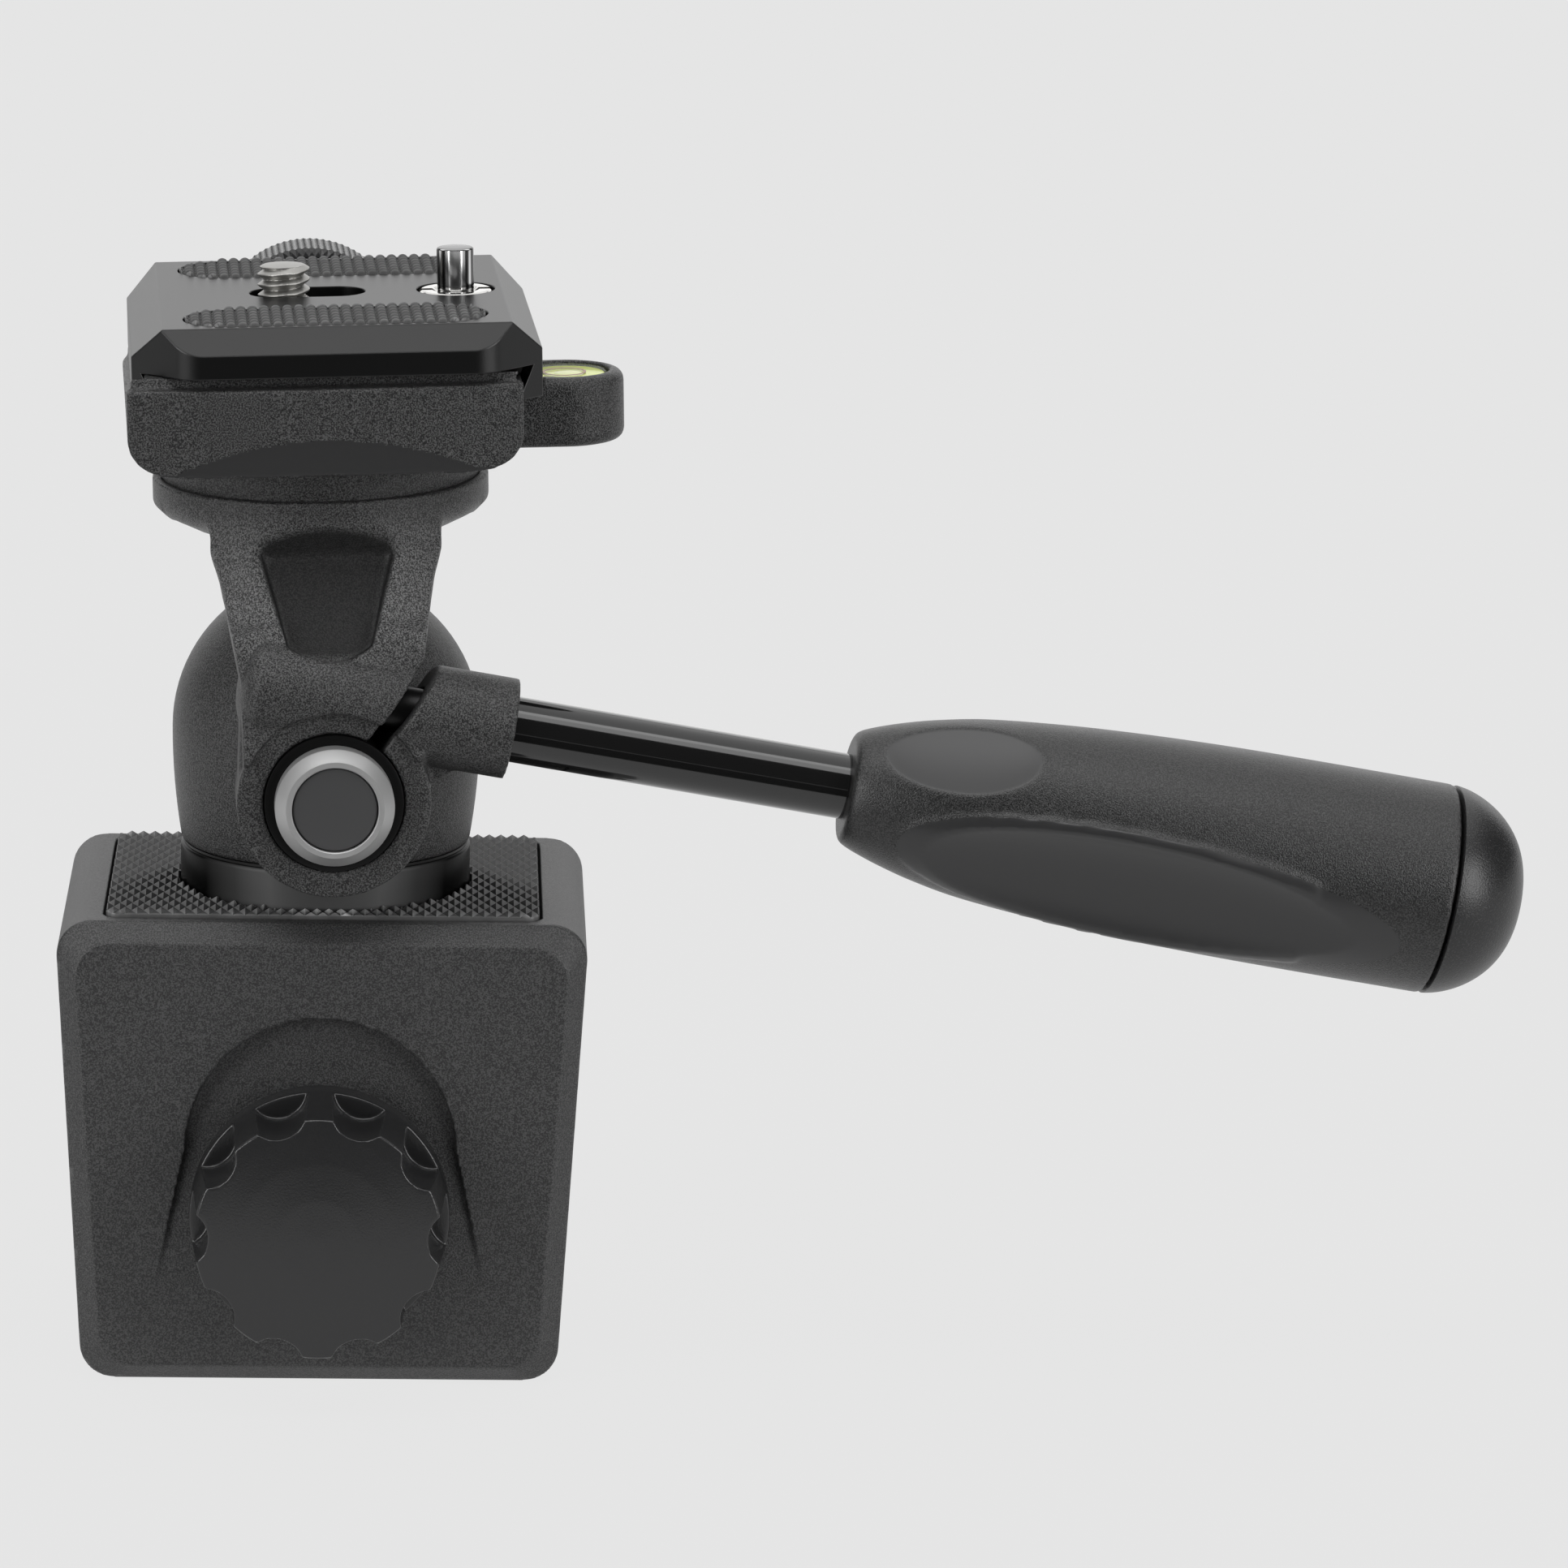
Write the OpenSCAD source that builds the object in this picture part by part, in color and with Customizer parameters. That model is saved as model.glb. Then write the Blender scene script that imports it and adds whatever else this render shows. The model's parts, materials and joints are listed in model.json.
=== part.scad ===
// Two-way pan and tilt head on a car window clamp.
// X points along the handle side, Y away from the clamp knob, Z up.
// The origin lies on the foot of the clamp, on the pan axis.

/* [Pose] */
// Turn of the head on the pan axis, in degrees
pan_angle = 2.9; // [-180:0.1:180]
// Lean of the bracket on the tilt axis, in degrees
tilt_angle = 1.6; // [-20:0.1:60]

/* [Clamp body] */
// Height of the clamp body
clamp_height = 57.6; // [50:0.1:75]
// Width of the clamp body at its top
clamp_top_width = 64.3; // [60:0.1:80]
// Width of the clamp body at its foot
clamp_bottom_width = 58.6; // [56:0.1:80]
// Front face of the clamp, measured from the pan axis
clamp_front = 24; // [22:0.1:34]
// Back face of the clamp, measured from the pan axis
clamp_back = 26.4; // [25:0.1:36]
// Corner radius of the clamp outline
clamp_corner = 4.3; // [3:0.1:7]
// Chamfer around the front and back faces
clamp_chamfer = 2.3; // [0.5:0.1:3]
// Front wall of the hollow front leg
leg_wall = 3.2; // [2.6:0.1:5]
// Floor under the hollow front leg
leg_floor = 4; // [2.5:0.1:6]
// Width of the hollow in the front leg
hollow_width = 46; // [42:0.5:50]
// Thickness of the bridge over the glass slot
bridge_thickness = 16; // [14:0.5:20]
// Start of the glass slot, measured from the pan axis
slot_front = 2; // [1:0.1:4]
// Width of the glass slot between the two legs
slot_gap = 18; // [16:0.1:19]
// Thickness of the cover that closes the front leg
cover_thickness = 2.4; // [2:0.1:4]
// Radius of the arch of the knob recess
scoop_radius = 16.4; // [15:0.1:20]
// Height of the top of the knob recess
scoop_top = 46.1; // [42:0.1:50]
// Height at which the knob recess runs out
scoop_end = 12.2; // [8:0.1:16]
// Half width of the knob recess where it runs out
scoop_spread = 20.8; // [18:0.1:24]
// Depth of the knob recess at its top
scoop_depth = 2.6; // [0.5:0.1:2.8]

/* [Clamp pads] */
// Width of the rubber pad on top of the clamp
top_pad_width = 52.6; // [44:0.1:58]
// Front edge of the top pad, measured from the pan axis
top_pad_front = 19.7; // [19:0.1:21]
// Back edge of the top pad, measured from the pan axis
top_pad_back = 22; // [20:0.1:23.5]
// Thickness of the top pad
top_pad_thickness = 2.3; // [1.5:0.1:4]
// Height that the top pad stands above the clamp body
top_pad_proud = 1; // [0.4:0.1:1.4]
// Thickness of the rubber jaw pads
jaw_pad_thickness = 1.6; // [1:0.1:3]
// Height of the two jaw pads
jaw_pad_height = 30; // [20:0.5:34]
// Width of the two jaw pads
jaw_pad_width = 44; // [34:0.5:48]

/* [Clamp screw] */
// Height of the clamp screw above the foot
spindle_height = 22.6; // [20:0.1:26]
// Radius of the clamp screw
spindle_radius = 4; // [3:0.1:5]
// Radius of the reduced tip of the clamp screw
spindle_tip_radius = 3; // [2:0.1:3.5]
// Across-flats size of the brass nut
spindle_nut_flats = 13; // [11.5:0.1:14]
// Length of the brass nut
spindle_nut_length = 6.4; // [5:0.1:9]
// Thickness of the steel pressure plate
pressure_plate_thickness = 2.5; // [2:0.1:4]
// Distance of the pressure plate from the leg cover at rest
pressure_plate_reach = 6.8; // [6.8:0.1:8]
// Radius of the two guide pins
guide_pin_radius = 2; // [1.5:0.1:2.5]
// Distance of each guide pin from the clamp screw
guide_pin_offset = 15; // [13:0.1:17]
// Length of the guide pins behind the pressure plate
guide_pin_length = 18; // [14:0.5:20]
// Radius of the clamp knob at its back flange
clamp_knob_radius = 15.8; // [14:0.1:18]
// Radius of the clamp knob at its front face
clamp_knob_face_radius = 14.9; // [13:0.1:17]
// Length of the clamp knob
clamp_knob_length = 14; // [12:0.1:18]
// Thickness of the round flange at the back of the clamp knob
clamp_knob_flange = 2.8; // [1.5:0.1:4]
// Number of finger lobes on the clamp knob
clamp_knob_lobes = 10; // [6:1:14]
// Radius of each finger scallop
clamp_knob_scallop = 3.6; // [2:0.1:5]
// Depth of each finger scallop
clamp_knob_scallop_depth = 1.5; // [0.5:0.1:2.5]
// Gap between the knob and the clamp body at rest
clamp_knob_gap = 1.6; // [1.4:0.1:3]

/* [Pan base] */
// Step of the pan base beyond the foot of the barrel
pan_base_step = 0.1; // [0:0.05:0.5]
// Height of the pan base above the clamp body
pan_base_height = 5.4; // [4:0.1:8]
// Thickness of the bright friction washer
pan_washer_thickness = 0.3; // [0.2:0.05:0.6]
// Radius of the pan bolt
pan_bolt_radius = 4; // [3:0.1:5]
// Radius of the head of the pan bolt
pan_bolt_head_radius = 6.5; // [6:0.1:7.5]
// Height of the head of the pan bolt
pan_bolt_head_height = 5.2; // [3:0.1:6]
// Thread length of the pan bolt in the barrel
pan_bolt_grip = 13; // [8:0.5:16]
// Radius of the spring washer under the pan bolt head
spring_washer_radius = 7.6; // [7.6:0.1:8]
// Thickness of the spring washer
spring_washer_thickness = 1.6; // [1:0.1:2]

/* [Barrel] */
// Largest radius of the barrel
barrel_radius = 18.9; // [18.3:0.1:20]
// Inset of the foot of the barrel from its largest radius
barrel_belly = 1.2; // [0.8:0.1:1.5]
// Height of the widest ring above the foot of the barrel
barrel_waist = 14; // [12:0.1:16]
// Height of the flat crown above the foot of the barrel
barrel_height = 29.5; // [28:0.1:31]
// Depth of the flat on the front of the barrel
barrel_flat_depth = 1.1; // [0.9:0.1:1.5]

/* [Tilt axle] */
// Height of the tilt axis above the foot of the barrel
tilt_height = 10.7; // [9.5:0.1:13]
// Radius of the tilt axle
axle_radius = 6.2; // [5:0.1:6.4]
// Wall of the tilt bush
bush_wall = 1.4; // [1:0.1:1.6]
// Radius of the front flange of the tilt bush
bush_flange_radius = 8.4; // [8.2:0.1:9]
// Thickness of the flange of the tilt bush
bush_flange_thickness = 0.9; // [0.6:0.1:1.5]
// Radius of the bright axle cap
cap_radius = 7.2; // [6.8:0.1:8]
// Height of the bright axle cap
cap_height = 3.6; // [3:0.1:5]
// Radius of the bare disc in the axle cap
cap_disc_radius = 5.1; // [4:0.1:5.6]
// Thickness of the bare disc in the axle cap
cap_disc_thickness = 1; // [0.8:0.1:1.4]
// Thickness of the thrust washer behind the bracket
thrust_thickness = 0.4; // [0.2:0.05:0.8]

/* [Tilt bracket] */
// Reach of the bracket boss in front of the flat of the barrel
boss_reach = 9.2; // [8.4:0.1:10.2]
// Radius of the bracket boss
boss_radius = 11.7; // [11.4:0.1:13]
// Radius of the spot face milled round the axle
boss_spot_radius = 11.2; // [10.5:0.1:11.3]
// Radius of the top disc of the bracket
disc_radius = 20.5; // [20:0.1:23]
// Thickness of the top disc of the bracket
disc_thickness = 4.6; // [3.5:0.1:6]
// Height of the top of the disc above the tilt axis
disc_height = 35.5; // [34.5:0.1:40]
// Thickness of the arm
arm_thickness = 6.6; // [5.8:0.1:8]
// Backward lean of the arm, in degrees
arm_lean = 16; // [12:0.5:18]
// Half width of the arm at its narrow end
arm_half_width = 10.8; // [10.5:0.1:12.5]
// Half width of the arm at the top of its straight sides
arm_top_half_width = 13; // [12.5:0.1:15]
// Depth of the pocket in the front of the arm, at its lower end
pocket_depth = 1.8; // [1:0.1:2.5]
// Angle between the floor of the pocket and the front of the arm, in degrees
pocket_lean = 9; // [4:1:12]
// Half width of the pocket at its top
pocket_half_width = 8.9; // [6:0.1:9.4]
// Half width of the pocket at its bottom
pocket_low_half_width = 5.1; // [3.5:0.1:6]
// Width of the clamping split in the boss
split_width = 2.2; // [1.5:0.1:3.5]
// Direction of the clamping split above the handle side, in degrees
split_angle = 53; // [48:1:58]

/* [Handle] */
// Distance of the handle axis from the tilt axis
handle_offset = 11.8; // [11.3:0.1:12.5]
// Distance of the handle axis in front of the flat of the barrel
handle_reach = 4.8; // [4.6:0.1:5.6]
// Angle of the handle below the bracket, in degrees
handle_drop = 11.6; // [5:0.1:16]
// Radius of the handle socket
socket_radius = 6.1; // [5.6:0.1:7]
// Reach of the handle socket along the handle
socket_reach = 19.7; // [18:0.1:24]
// Reach of the nut end of the socket, on the other side
socket_back_reach = 11.5; // [10:0.1:12]
// Radius of the handle rod
rod_radius = 4; // [3.6:0.1:4.6]
// Radius of the threaded end of the rod
rod_thread_radius = 2.9; // [2:0.1:3]
// Depth of the rod in the socket
rod_seat = 5; // [3:0.1:6]
// Distance along the handle at which the grip starts
grip_start = 61; // [50:0.5:75]
// Distance along the handle of the seam of the end cap
grip_seam = 134.8; // [120:0.1:150]
// Length of the end cap
end_cap_length = 10.3; // [7:0.1:12]
// Radius of the grip at its collar
grip_collar_radius = 6.9; // [5.6:0.1:8]
// Radius of the grip at its fullest
grip_radius = 12.9; // [11:0.1:15]
// Depth of the rod inside the grip
rod_in_grip = 48; // [30:1:60]

/* [Platform] */
// Width of the platform
platform_width = 47.2; // [46.6:0.1:48]
// Front face of the platform, measured from the pan axis
platform_front = 25.9; // [25.6:0.1:27]
// Back face of the platform, measured from the pan axis
platform_back = 26.5; // [26.2:0.1:28]
// Underside of the platform above the tilt axis
platform_bottom = 38.2; // [37.6:0.1:39]
// Top of the platform above the tilt axis
platform_top = 51.9; // [51.2:0.1:53]
// Height of the shoulder under the plate claws above the tilt axis
shoulder_height = 47.2; // [46.6:0.1:47.3]
// Height of the front lip above the tilt axis
lip_height = 50.6; // [49:0.1:51]
// Height of the tapered underside of the platform
taper_rise = 6.3; // [4:0.1:6.6]
// Inset of the tapered underside of the platform
taper_inset = 6.5; // [3:0.1:7]
// Radius of the upright corners of the platform
platform_corner = 3; // [1:0.1:4]
// Radius of the round spigot under the platform
spigot_radius = 19.4; // [17:0.1:20]
// Floor of the lock channel above the tilt axis
channel_floor = 42.6; // [41.8:0.1:43]
// Radius of the platform screw
platform_screw_radius = 3; // [2.5:0.1:3.5]

/* [Level] */
// Distance of the level from the pan axis along X
level_x = 29.8; // [29:0.1:32]
// Distance of the level behind the pan axis
level_y = -3; // [-8:0.5:4]
// Radius of the level ear
level_ear_radius = 7.25; // [6.8:0.05:8]
// Bottom of the level ear above the tilt axis
level_bottom = 39.4; // [39:0.1:41]
// Top of the level ear above the tilt axis
level_top = 48.4; // [48:0.1:49]
// Radius of the level vial
level_vial_radius = 5.3; // [4:0.1:6]
// Depth of the seat of the level vial
level_vial_depth = 5.3; // [4:0.1:6]
// Depth of the top of the vial below the rim of the ear
level_vial_sink = 1; // [0.8:0.1:1.5]

/* [Plate lock] */
// Height of the lock screw above the tilt axis
lock_height = 46.4; // [46:0.1:47]
// Radius of the lock screw
lock_screw_radius = 2.5; // [2:0.1:3]
// Radius of the lock knob
lock_knob_radius = 11.7; // [9:0.1:12]
// Length of the lock knob
lock_knob_length = 9; // [6:0.1:12]
// Gap between the platform and the lock knob
lock_knob_gap = 2.8; // [2.4:0.1:4]
// Half width of the wedge along the lock screw
wedge_half_length = 8; // [7:0.1:8.4]
// Half width of the wedge across the lock screw, at its middle
wedge_half_width = 6; // [5:0.1:6.5]
// Slope of the wedge faces, in degrees
wedge_slope = 30; // [28:1:32]
// Half length of the jaw along Y
jaw_half_length = 15; // [13:0.1:16]

/* [Quick plate] */
// Width of the plate
plate_width = 49.1; // [48.5:0.1:50]
// Offset of the plate towards the jaw
plate_shift = 1.65; // [1.4:0.05:1.9]
// Thickness of the plate
plate_thickness = 5.7; // [5:0.1:8]
// Front and back ends of the plate, measured from the plate centre
plate_half_depth = 27.2; // [26.6:0.1:29]
// Distance of the claw ends from the ends of the plate
claw_end_step = 3; // [2:0.1:3.2]
// Size of the cut corners of the plate
plate_corner = 6.5; // [4:0.1:7.5]
// Width of the bevels along the sides of the plate
side_bevel = 3.7; // [2:0.1:4]
// Drop of the bevels along the sides of the plate
side_bevel_drop = 3.8; // [2:0.1:4.2]
// Width of the bevels along the front and the back of the plate
end_bevel = 3; // [2:0.1:3.2]
// Drop of the bevels along the front and the back of the plate
end_bevel_drop = 2.9; // [1:0.1:4.2]
// Thickness of the claws at their root
claw_root = 1.2; // [1:0.05:1.4]
// Thickness of the claws at their hook
claw_hook = 2.8; // [2.4:0.05:2.9]
// Length of the claws below the plate
claw_drop = 4; // [3.6:0.1:4.1]
// Length of the rubber strips
strip_length = 36.4; // [30:0.1:40]
// Width of the rubber strips
strip_width = 12; // [8:0.1:12.4]
// Height of the rubber strips above the plate
strip_proud = 0.5; // [0.2:0.1:1]
// Distance of the rubber strips from the plate centre line
strip_offset = 17.4; // [16.6:0.1:18]

/* [Camera screw and pin] */
// Radius of the camera screw thread, a quarter inch screw
camera_screw_radius = 3.175; // [3.175:0.001:4.763]
// Height of the camera screw above the plate
camera_screw_height = 3.5; // [3.2:0.1:6]
// Place of the camera screw along X
camera_screw_x = -4; // [-4.4:0.1:1]
// Middle of the screw slot along X
screw_slot_x = -1.15; // [-1.5:0.05:0]
// Length of the screw slot
screw_slot_length = 14.1; // [13.4:0.1:16]
// Width of the screw slot
screw_slot_width = 7; // [6.6:0.1:9.6]
// Radius of the head of the camera screw
camera_head_radius = 5.4; // [5.4:0.1:6]
// Height of the head of the camera screw
camera_head_height = 2; // [1.5:0.1:2.4]
// Radius of the video pin
video_pin_radius = 2.25; // [2:0.05:2.5]
// Height of the video pin above the plate
video_pin_height = 5.1; // [4.8:0.1:6]
// Place of the video pin along X
video_pin_x = 16.9; // [16:0.1:17.2]
// Radius of the slotted pin nut
pin_nut_radius = 4.75; // [4.4:0.05:5]
// Thickness of the slotted pin nut
pin_nut_thickness = 1.8; // [1.2:0.1:2.4]
// Travel of the video pin
video_pin_travel = 4.6; // [3:0.1:4.7]

/* [Clearances] */
// Radial running clearance of shafts in bores
run_fit = 0.05; // [0.02:0.01:0.1]
// Clearance between pieces that are fixed together
seat_fit = 0.03; // [0:0.01:0.1]
// Clearance between pieces that pass each other
pass_gap = 0.3; // [0.2:0.05:0.6]

/* [Hidden] */
$fn = 64;
cut = 1;

slot_back = slot_front + slot_gap;
slot_ceiling = clamp_height - bridge_thickness;
hollow_front = leg_wall - clamp_front;
cover_front = slot_front - cover_thickness;
post_radius = 3.2;
post_inset = 4;
post_x = hollow_width / 2 - post_inset;
post_low = leg_floor + post_inset;
post_high = slot_ceiling - post_inset;
cover_screw_radius = 1.25;
cover_screw_head = 2.4;
cover_screw_sink = 1.4;
cover_screw_length = 10;
nut_boss_radius = spindle_nut_flats / 2 / cos(30) + 1.8;
nut_boss_tail = 4;
nut_boss_end = hollow_front + spindle_nut_length + nut_boss_tail;
nut_front = nut_boss_end - spindle_nut_length;
guide_boss_radius = guide_pin_radius + 2;
guide_boss_length = 5;
scoop_centre = scoop_top - scoop_radius;
scoop_slope = atan(scoop_depth / (scoop_top - scoop_end));
scoop_block = 4 * scoop_depth;

pad_floor = clamp_height + top_pad_proud - top_pad_thickness;
pressure_back = slot_front + pressure_plate_reach;
pressure_front = pressure_back + pressure_plate_thickness;
jaw_pad_bottom = spindle_height - jaw_pad_height / 2;
clip_thickness = 0.8;
clip_radius = spindle_tip_radius + 2;
clip_sink = clip_thickness + 0.4;
knob_back = -clamp_front - clamp_knob_gap;
knob_front = knob_back - clamp_knob_length;
knob_cover = 4;
spindle_start = knob_front + knob_cover;

barrel_foot_radius = barrel_radius - barrel_belly;
barrel_flat = barrel_radius - barrel_flat_depth;
pan_base_radius = barrel_foot_radius + pan_base_step;
boss_front = barrel_flat + boss_reach;
handle_front = barrel_flat + handle_reach;
barrel_foot = clamp_height + pan_base_height + pan_washer_thickness + seat_fit;
bolt_seat_rise = 8.4;
bolt_seat = slot_ceiling + bolt_seat_rise;
bolt_clear = 1;
tilt_z = barrel_foot - seat_fit - pan_washer_thickness + tilt_height;

axle_back = pan_bolt_radius + 1.2;
bracket_back = barrel_flat + thrust_thickness + 0.1;
bush_radius = axle_radius + bush_wall;
bush_front = boss_front + 0.2;
cap_back = bush_front + 0.1;
cap_front = cap_back + cap_height;
cap_web = 1;
cap_flat_radius = cap_radius - 0.85;
axle_screw_radius = 2;
axle_screw_head = 3.8;
axle_screw_head_height = 1.2;
axle_screw_length = 10;

arm_base = 5;
arm_waist = 15;
arm_lean_height = 10;
arm_flare_step = 1.2;
arm_root = 4;
arm_top = disc_height - disc_thickness + 0.4;
arm_flare = arm_top - 3.6;
arm_cone_slope = 1;
pocket_top = disc_height - disc_thickness + 3;
spot_depth = 0.05;
pocket_bottom = 19;
bore_reach = 40;
flat_clear = 3.3;
bracket_back_top = barrel_foot + barrel_height - tilt_z + flat_clear;
socket_end_wall = 1.2;
split_start = 5;
split_length = 20;
nut_half = rod_thread_radius + 0.9;
nut_front_half = rod_thread_radius + 0.6;
nut_back_half = rod_thread_radius + 1;
handle_nut_length = 4;
handle_nut_end = socket_back_reach - socket_end_wall - 0.4;
rod_seat_start = socket_reach - rod_seat;
gusset_inset = 7;
gusset_heel = 3.5;
gusset_toe = 1;
gusset_reach = 12;
gusset_drop = 5;
gusset_half_width = 10;

spigot_seat = 2;
screw_head_radius = 5.2;
screw_head_height = 2.4;
platform_pin_radius = 1.5;
platform_pin_offset = 13;

plate_bottom = platform_top + seat_fit;
plate_top = plate_bottom + plate_thickness;
plate_half = plate_width / 2;
claw_bottom = plate_bottom - claw_drop;
claw_half_depth = plate_half_depth - claw_end_step;
claw_edge = 0.5;
claw_slope = (claw_hook - claw_root) / (claw_drop - claw_edge);
rail_gap = 0.12;
rail_left_top = plate_shift - plate_half + claw_root + rail_gap;
rail_left_low = rail_left_top + claw_slope * (platform_top - shoulder_height);
jaw_top_x = plate_shift + plate_half - claw_root - rail_gap;
jaw_low_x = jaw_top_x - claw_slope * (platform_top - shoulder_height);
jaw_travel = 2.2;
jaw_bar_end = video_pin_x - pin_nut_radius - 0.6;
jaw_arm_inner = pin_nut_radius + 0.6;
jaw_floor = channel_floor + 0.2;
jaw_roof = platform_top - 0.2;
channel_half_length = jaw_half_length + 0.2;
channel_start = -wedge_half_width - pass_gap;
lock_knob_start = platform_back + lock_knob_gap;
lock_screw_start = -wedge_half_length - 1;
lock_collar_radius = lock_screw_radius + 1.1;
lock_boss_radius = lock_screw_radius + 2.3;
lock_collar_length = 1.4;
rail_right = jaw_low_x - jaw_travel - 0.4;
jaw_low_end = rail_right - 1;
wedge_least_x = lock_screw_radius + 1.7;
jaw_least_x = wedge_least_x + jaw_travel + pass_gap;
wedge_rise = tan(wedge_slope);

head_sink = camera_head_height + 0.4;
neck_radius = camera_screw_radius - 0.4;
neck_top = plate_top;
clip_ring_radius = camera_screw_radius + 1.4;
claw_space_end = plate_shift + plate_half + 2 * pass_gap;
vial_height = level_vial_depth - level_vial_sink;
vial_wall = 0.8;
pin_shank_radius = video_pin_radius - 0.3;
pin_flange_radius = video_pin_radius + 1.1;
pin_flange_height = 1;
pin_flange_top = plate_top - pin_nut_thickness - seat_fit;
pin_flange_bottom = pin_flange_top - pin_flange_height;
pin_cup_floor = 1;
pin_spring_length = video_pin_travel + 0.8;
pin_cup_inner_bottom = pin_flange_bottom - pin_spring_length;
pin_cup_bottom = pin_cup_inner_bottom - pin_cup_floor;
pin_spring_wire = 0.5;
pin_spring_radius = pin_flange_radius - pin_spring_wire / 2 - 0.05;
pin_spring_turns = 5;

echo(str("least gap between the turns of the pin spring: ",
    (pin_spring_length - pin_spring_wire) / pin_spring_turns - pin_spring_wire));

// Round bar along Y from y0 to y1
module bar_y(radius, y0, y1) {
    translate([0, y0, 0])
        rotate([-90, 0, 0])
            cylinder(r = radius, h = y1 - y0);
}

// Round tube along Y from y0 to y1
module tube_y(outer, inner, y0, y1) {
    difference() {
        bar_y(outer, y0, y1);
        bar_y(inner, y0 - cut, y1 + cut);
    }
}

// Flat shape in X and Z, made solid along Y from y0 to y1
module slab_y(y0, y1) {
    translate([0, y1, 0])
        rotate([90, 0, 0])
            linear_extrude(height = y1 - y0)
                children();
}

// Rectangle with round corners, centred
module soft_rectangle(width, depth, radius) {
    square([width - 2 * radius, depth], center = true);
    square([width, depth - 2 * radius], center = true);
    for (sx = [-1, 1], sy = [-1, 1])
        translate([sx * (width / 2 - radius), sy * (depth / 2 - radius)])
            circle(r = radius);
}

// Slot with round ends along X, centred
module round_slot(length, width) {
    square([length - width, width], center = true);
    for (side = [-1, 1])
        translate([side * (length - width) / 2, 0])
            circle(r = width / 2);
}

// Frame that turns with the pan
module pan_frame() {
    rotate([0, 0, pan_angle])
        children();
}

// Frame on the tilt axis that turns with the bracket
module tilt_frame() {
    pan_frame()
        translate([0, 0, tilt_z])
            rotate([0, -tilt_angle, 0])
                children();
}

// Frame on the tilt axis that does not lean with the bracket
module axle_frame() {
    pan_frame()
        translate([0, 0, tilt_z])
            children();
}

// Frame with Z along the handle, starting next to the tilt axis
module handle_frame() {
    tilt_frame()
        handle_place()
            children();
}

module handle_place() {
    translate([handle_offset * sin(handle_drop), -handle_front, handle_offset * cos(handle_drop)])
        rotate([0, 90 + handle_drop, 0])
            children();
}

module spindle_place() {
    translate([0, 0, spindle_height])
        children();
}

// Outline of the clamp seen from the front, drawn in by an inset
module clamp_outline(inset) {
    top = clamp_top_width / 2 - inset - clamp_corner;
    low = clamp_bottom_width / 2 - inset - clamp_corner;
    hull() {
        for (side = [-1, 1]) {
            translate([side * top, clamp_height - inset - clamp_corner])
                circle(r = clamp_corner, $fn = 32);
            translate([side * low, inset + clamp_corner])
                circle(r = clamp_corner, $fn = 32);
        }
    }
}

module clamp_block() {
    skin = 0.01;
    hull() {
        slab_y(-clamp_front + clamp_chamfer, clamp_back - clamp_chamfer)
            clamp_outline(0);
        slab_y(-clamp_front, -clamp_front + skin)
            clamp_outline(clamp_chamfer);
        slab_y(clamp_back - skin, clamp_back)
            clamp_outline(clamp_chamfer);
    }
}

module clamp_scoop() {
    intersection() {
        slab_y(-clamp_front - cut, -clamp_front + scoop_depth + cut)
            union() {
                translate([0, scoop_centre])
                    circle(r = scoop_radius);
                polygon([[-scoop_radius, scoop_centre], [-scoop_spread, scoop_end - 3],
                    [scoop_spread, scoop_end - 3], [scoop_radius, scoop_centre]]);
            }
        translate([0, -clamp_front, scoop_end])
            rotate([-scoop_slope, 0, 0])
                translate([-clamp_top_width / 2, -scoop_block, -2 * cut])
                    cube([clamp_top_width, scoop_block, clamp_height]);
    }
}

module cover_screw_places() {
    for (x = [-post_x, post_x], z = [post_low, post_high])
        translate([x, 0, z])
            children();
}

module clamp_body() {
    color("dimgray")
    difference() {
        union() {
            difference() {
                clamp_block();
                translate([-clamp_top_width, slot_front, -cut])
                    cube([2 * clamp_top_width, slot_gap, slot_ceiling + cut]);
                translate([-hollow_width / 2, hollow_front, leg_floor])
                    cube([hollow_width, slot_front - hollow_front + cut, slot_ceiling - leg_floor]);
            }
            spindle_place()
                bar_y(nut_boss_radius, hollow_front - leg_wall / 2, nut_boss_end);
            cover_screw_places()
                bar_y(post_radius, hollow_front - leg_wall / 2, cover_front);
        }
        translate([0, (top_pad_back - top_pad_front) / 2, pad_floor])
            linear_extrude(height = top_pad_thickness + cut)
                soft_rectangle(top_pad_width + 2 * pass_gap,
                    top_pad_front + top_pad_back + 2 * pass_gap, 2);
        translate([0, 0, slot_ceiling - cut])
            cylinder(r = pan_bolt_radius + run_fit, h = bridge_thickness + 2 * cut);
        translate([0, 0, slot_ceiling - cut])
            cylinder(r = spring_washer_radius + bolt_clear, h = bolt_seat - slot_ceiling + cut);
        spindle_place()
            bar_y(spindle_radius + pass_gap, -clamp_front - cut, nut_boss_end + cut);
        spindle_place()
            translate([0, nut_front, 0])
                rotate([-90, 0, 0])
                    cylinder(r = spindle_nut_flats / 2 / cos(30) + seat_fit,
                        h = spindle_nut_length + cut, $fn = 6);
        cover_screw_places()
            bar_y(cover_screw_radius + seat_fit, cover_front - cover_screw_length, cover_front + cut);
        clamp_scoop();
    }
}

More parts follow.
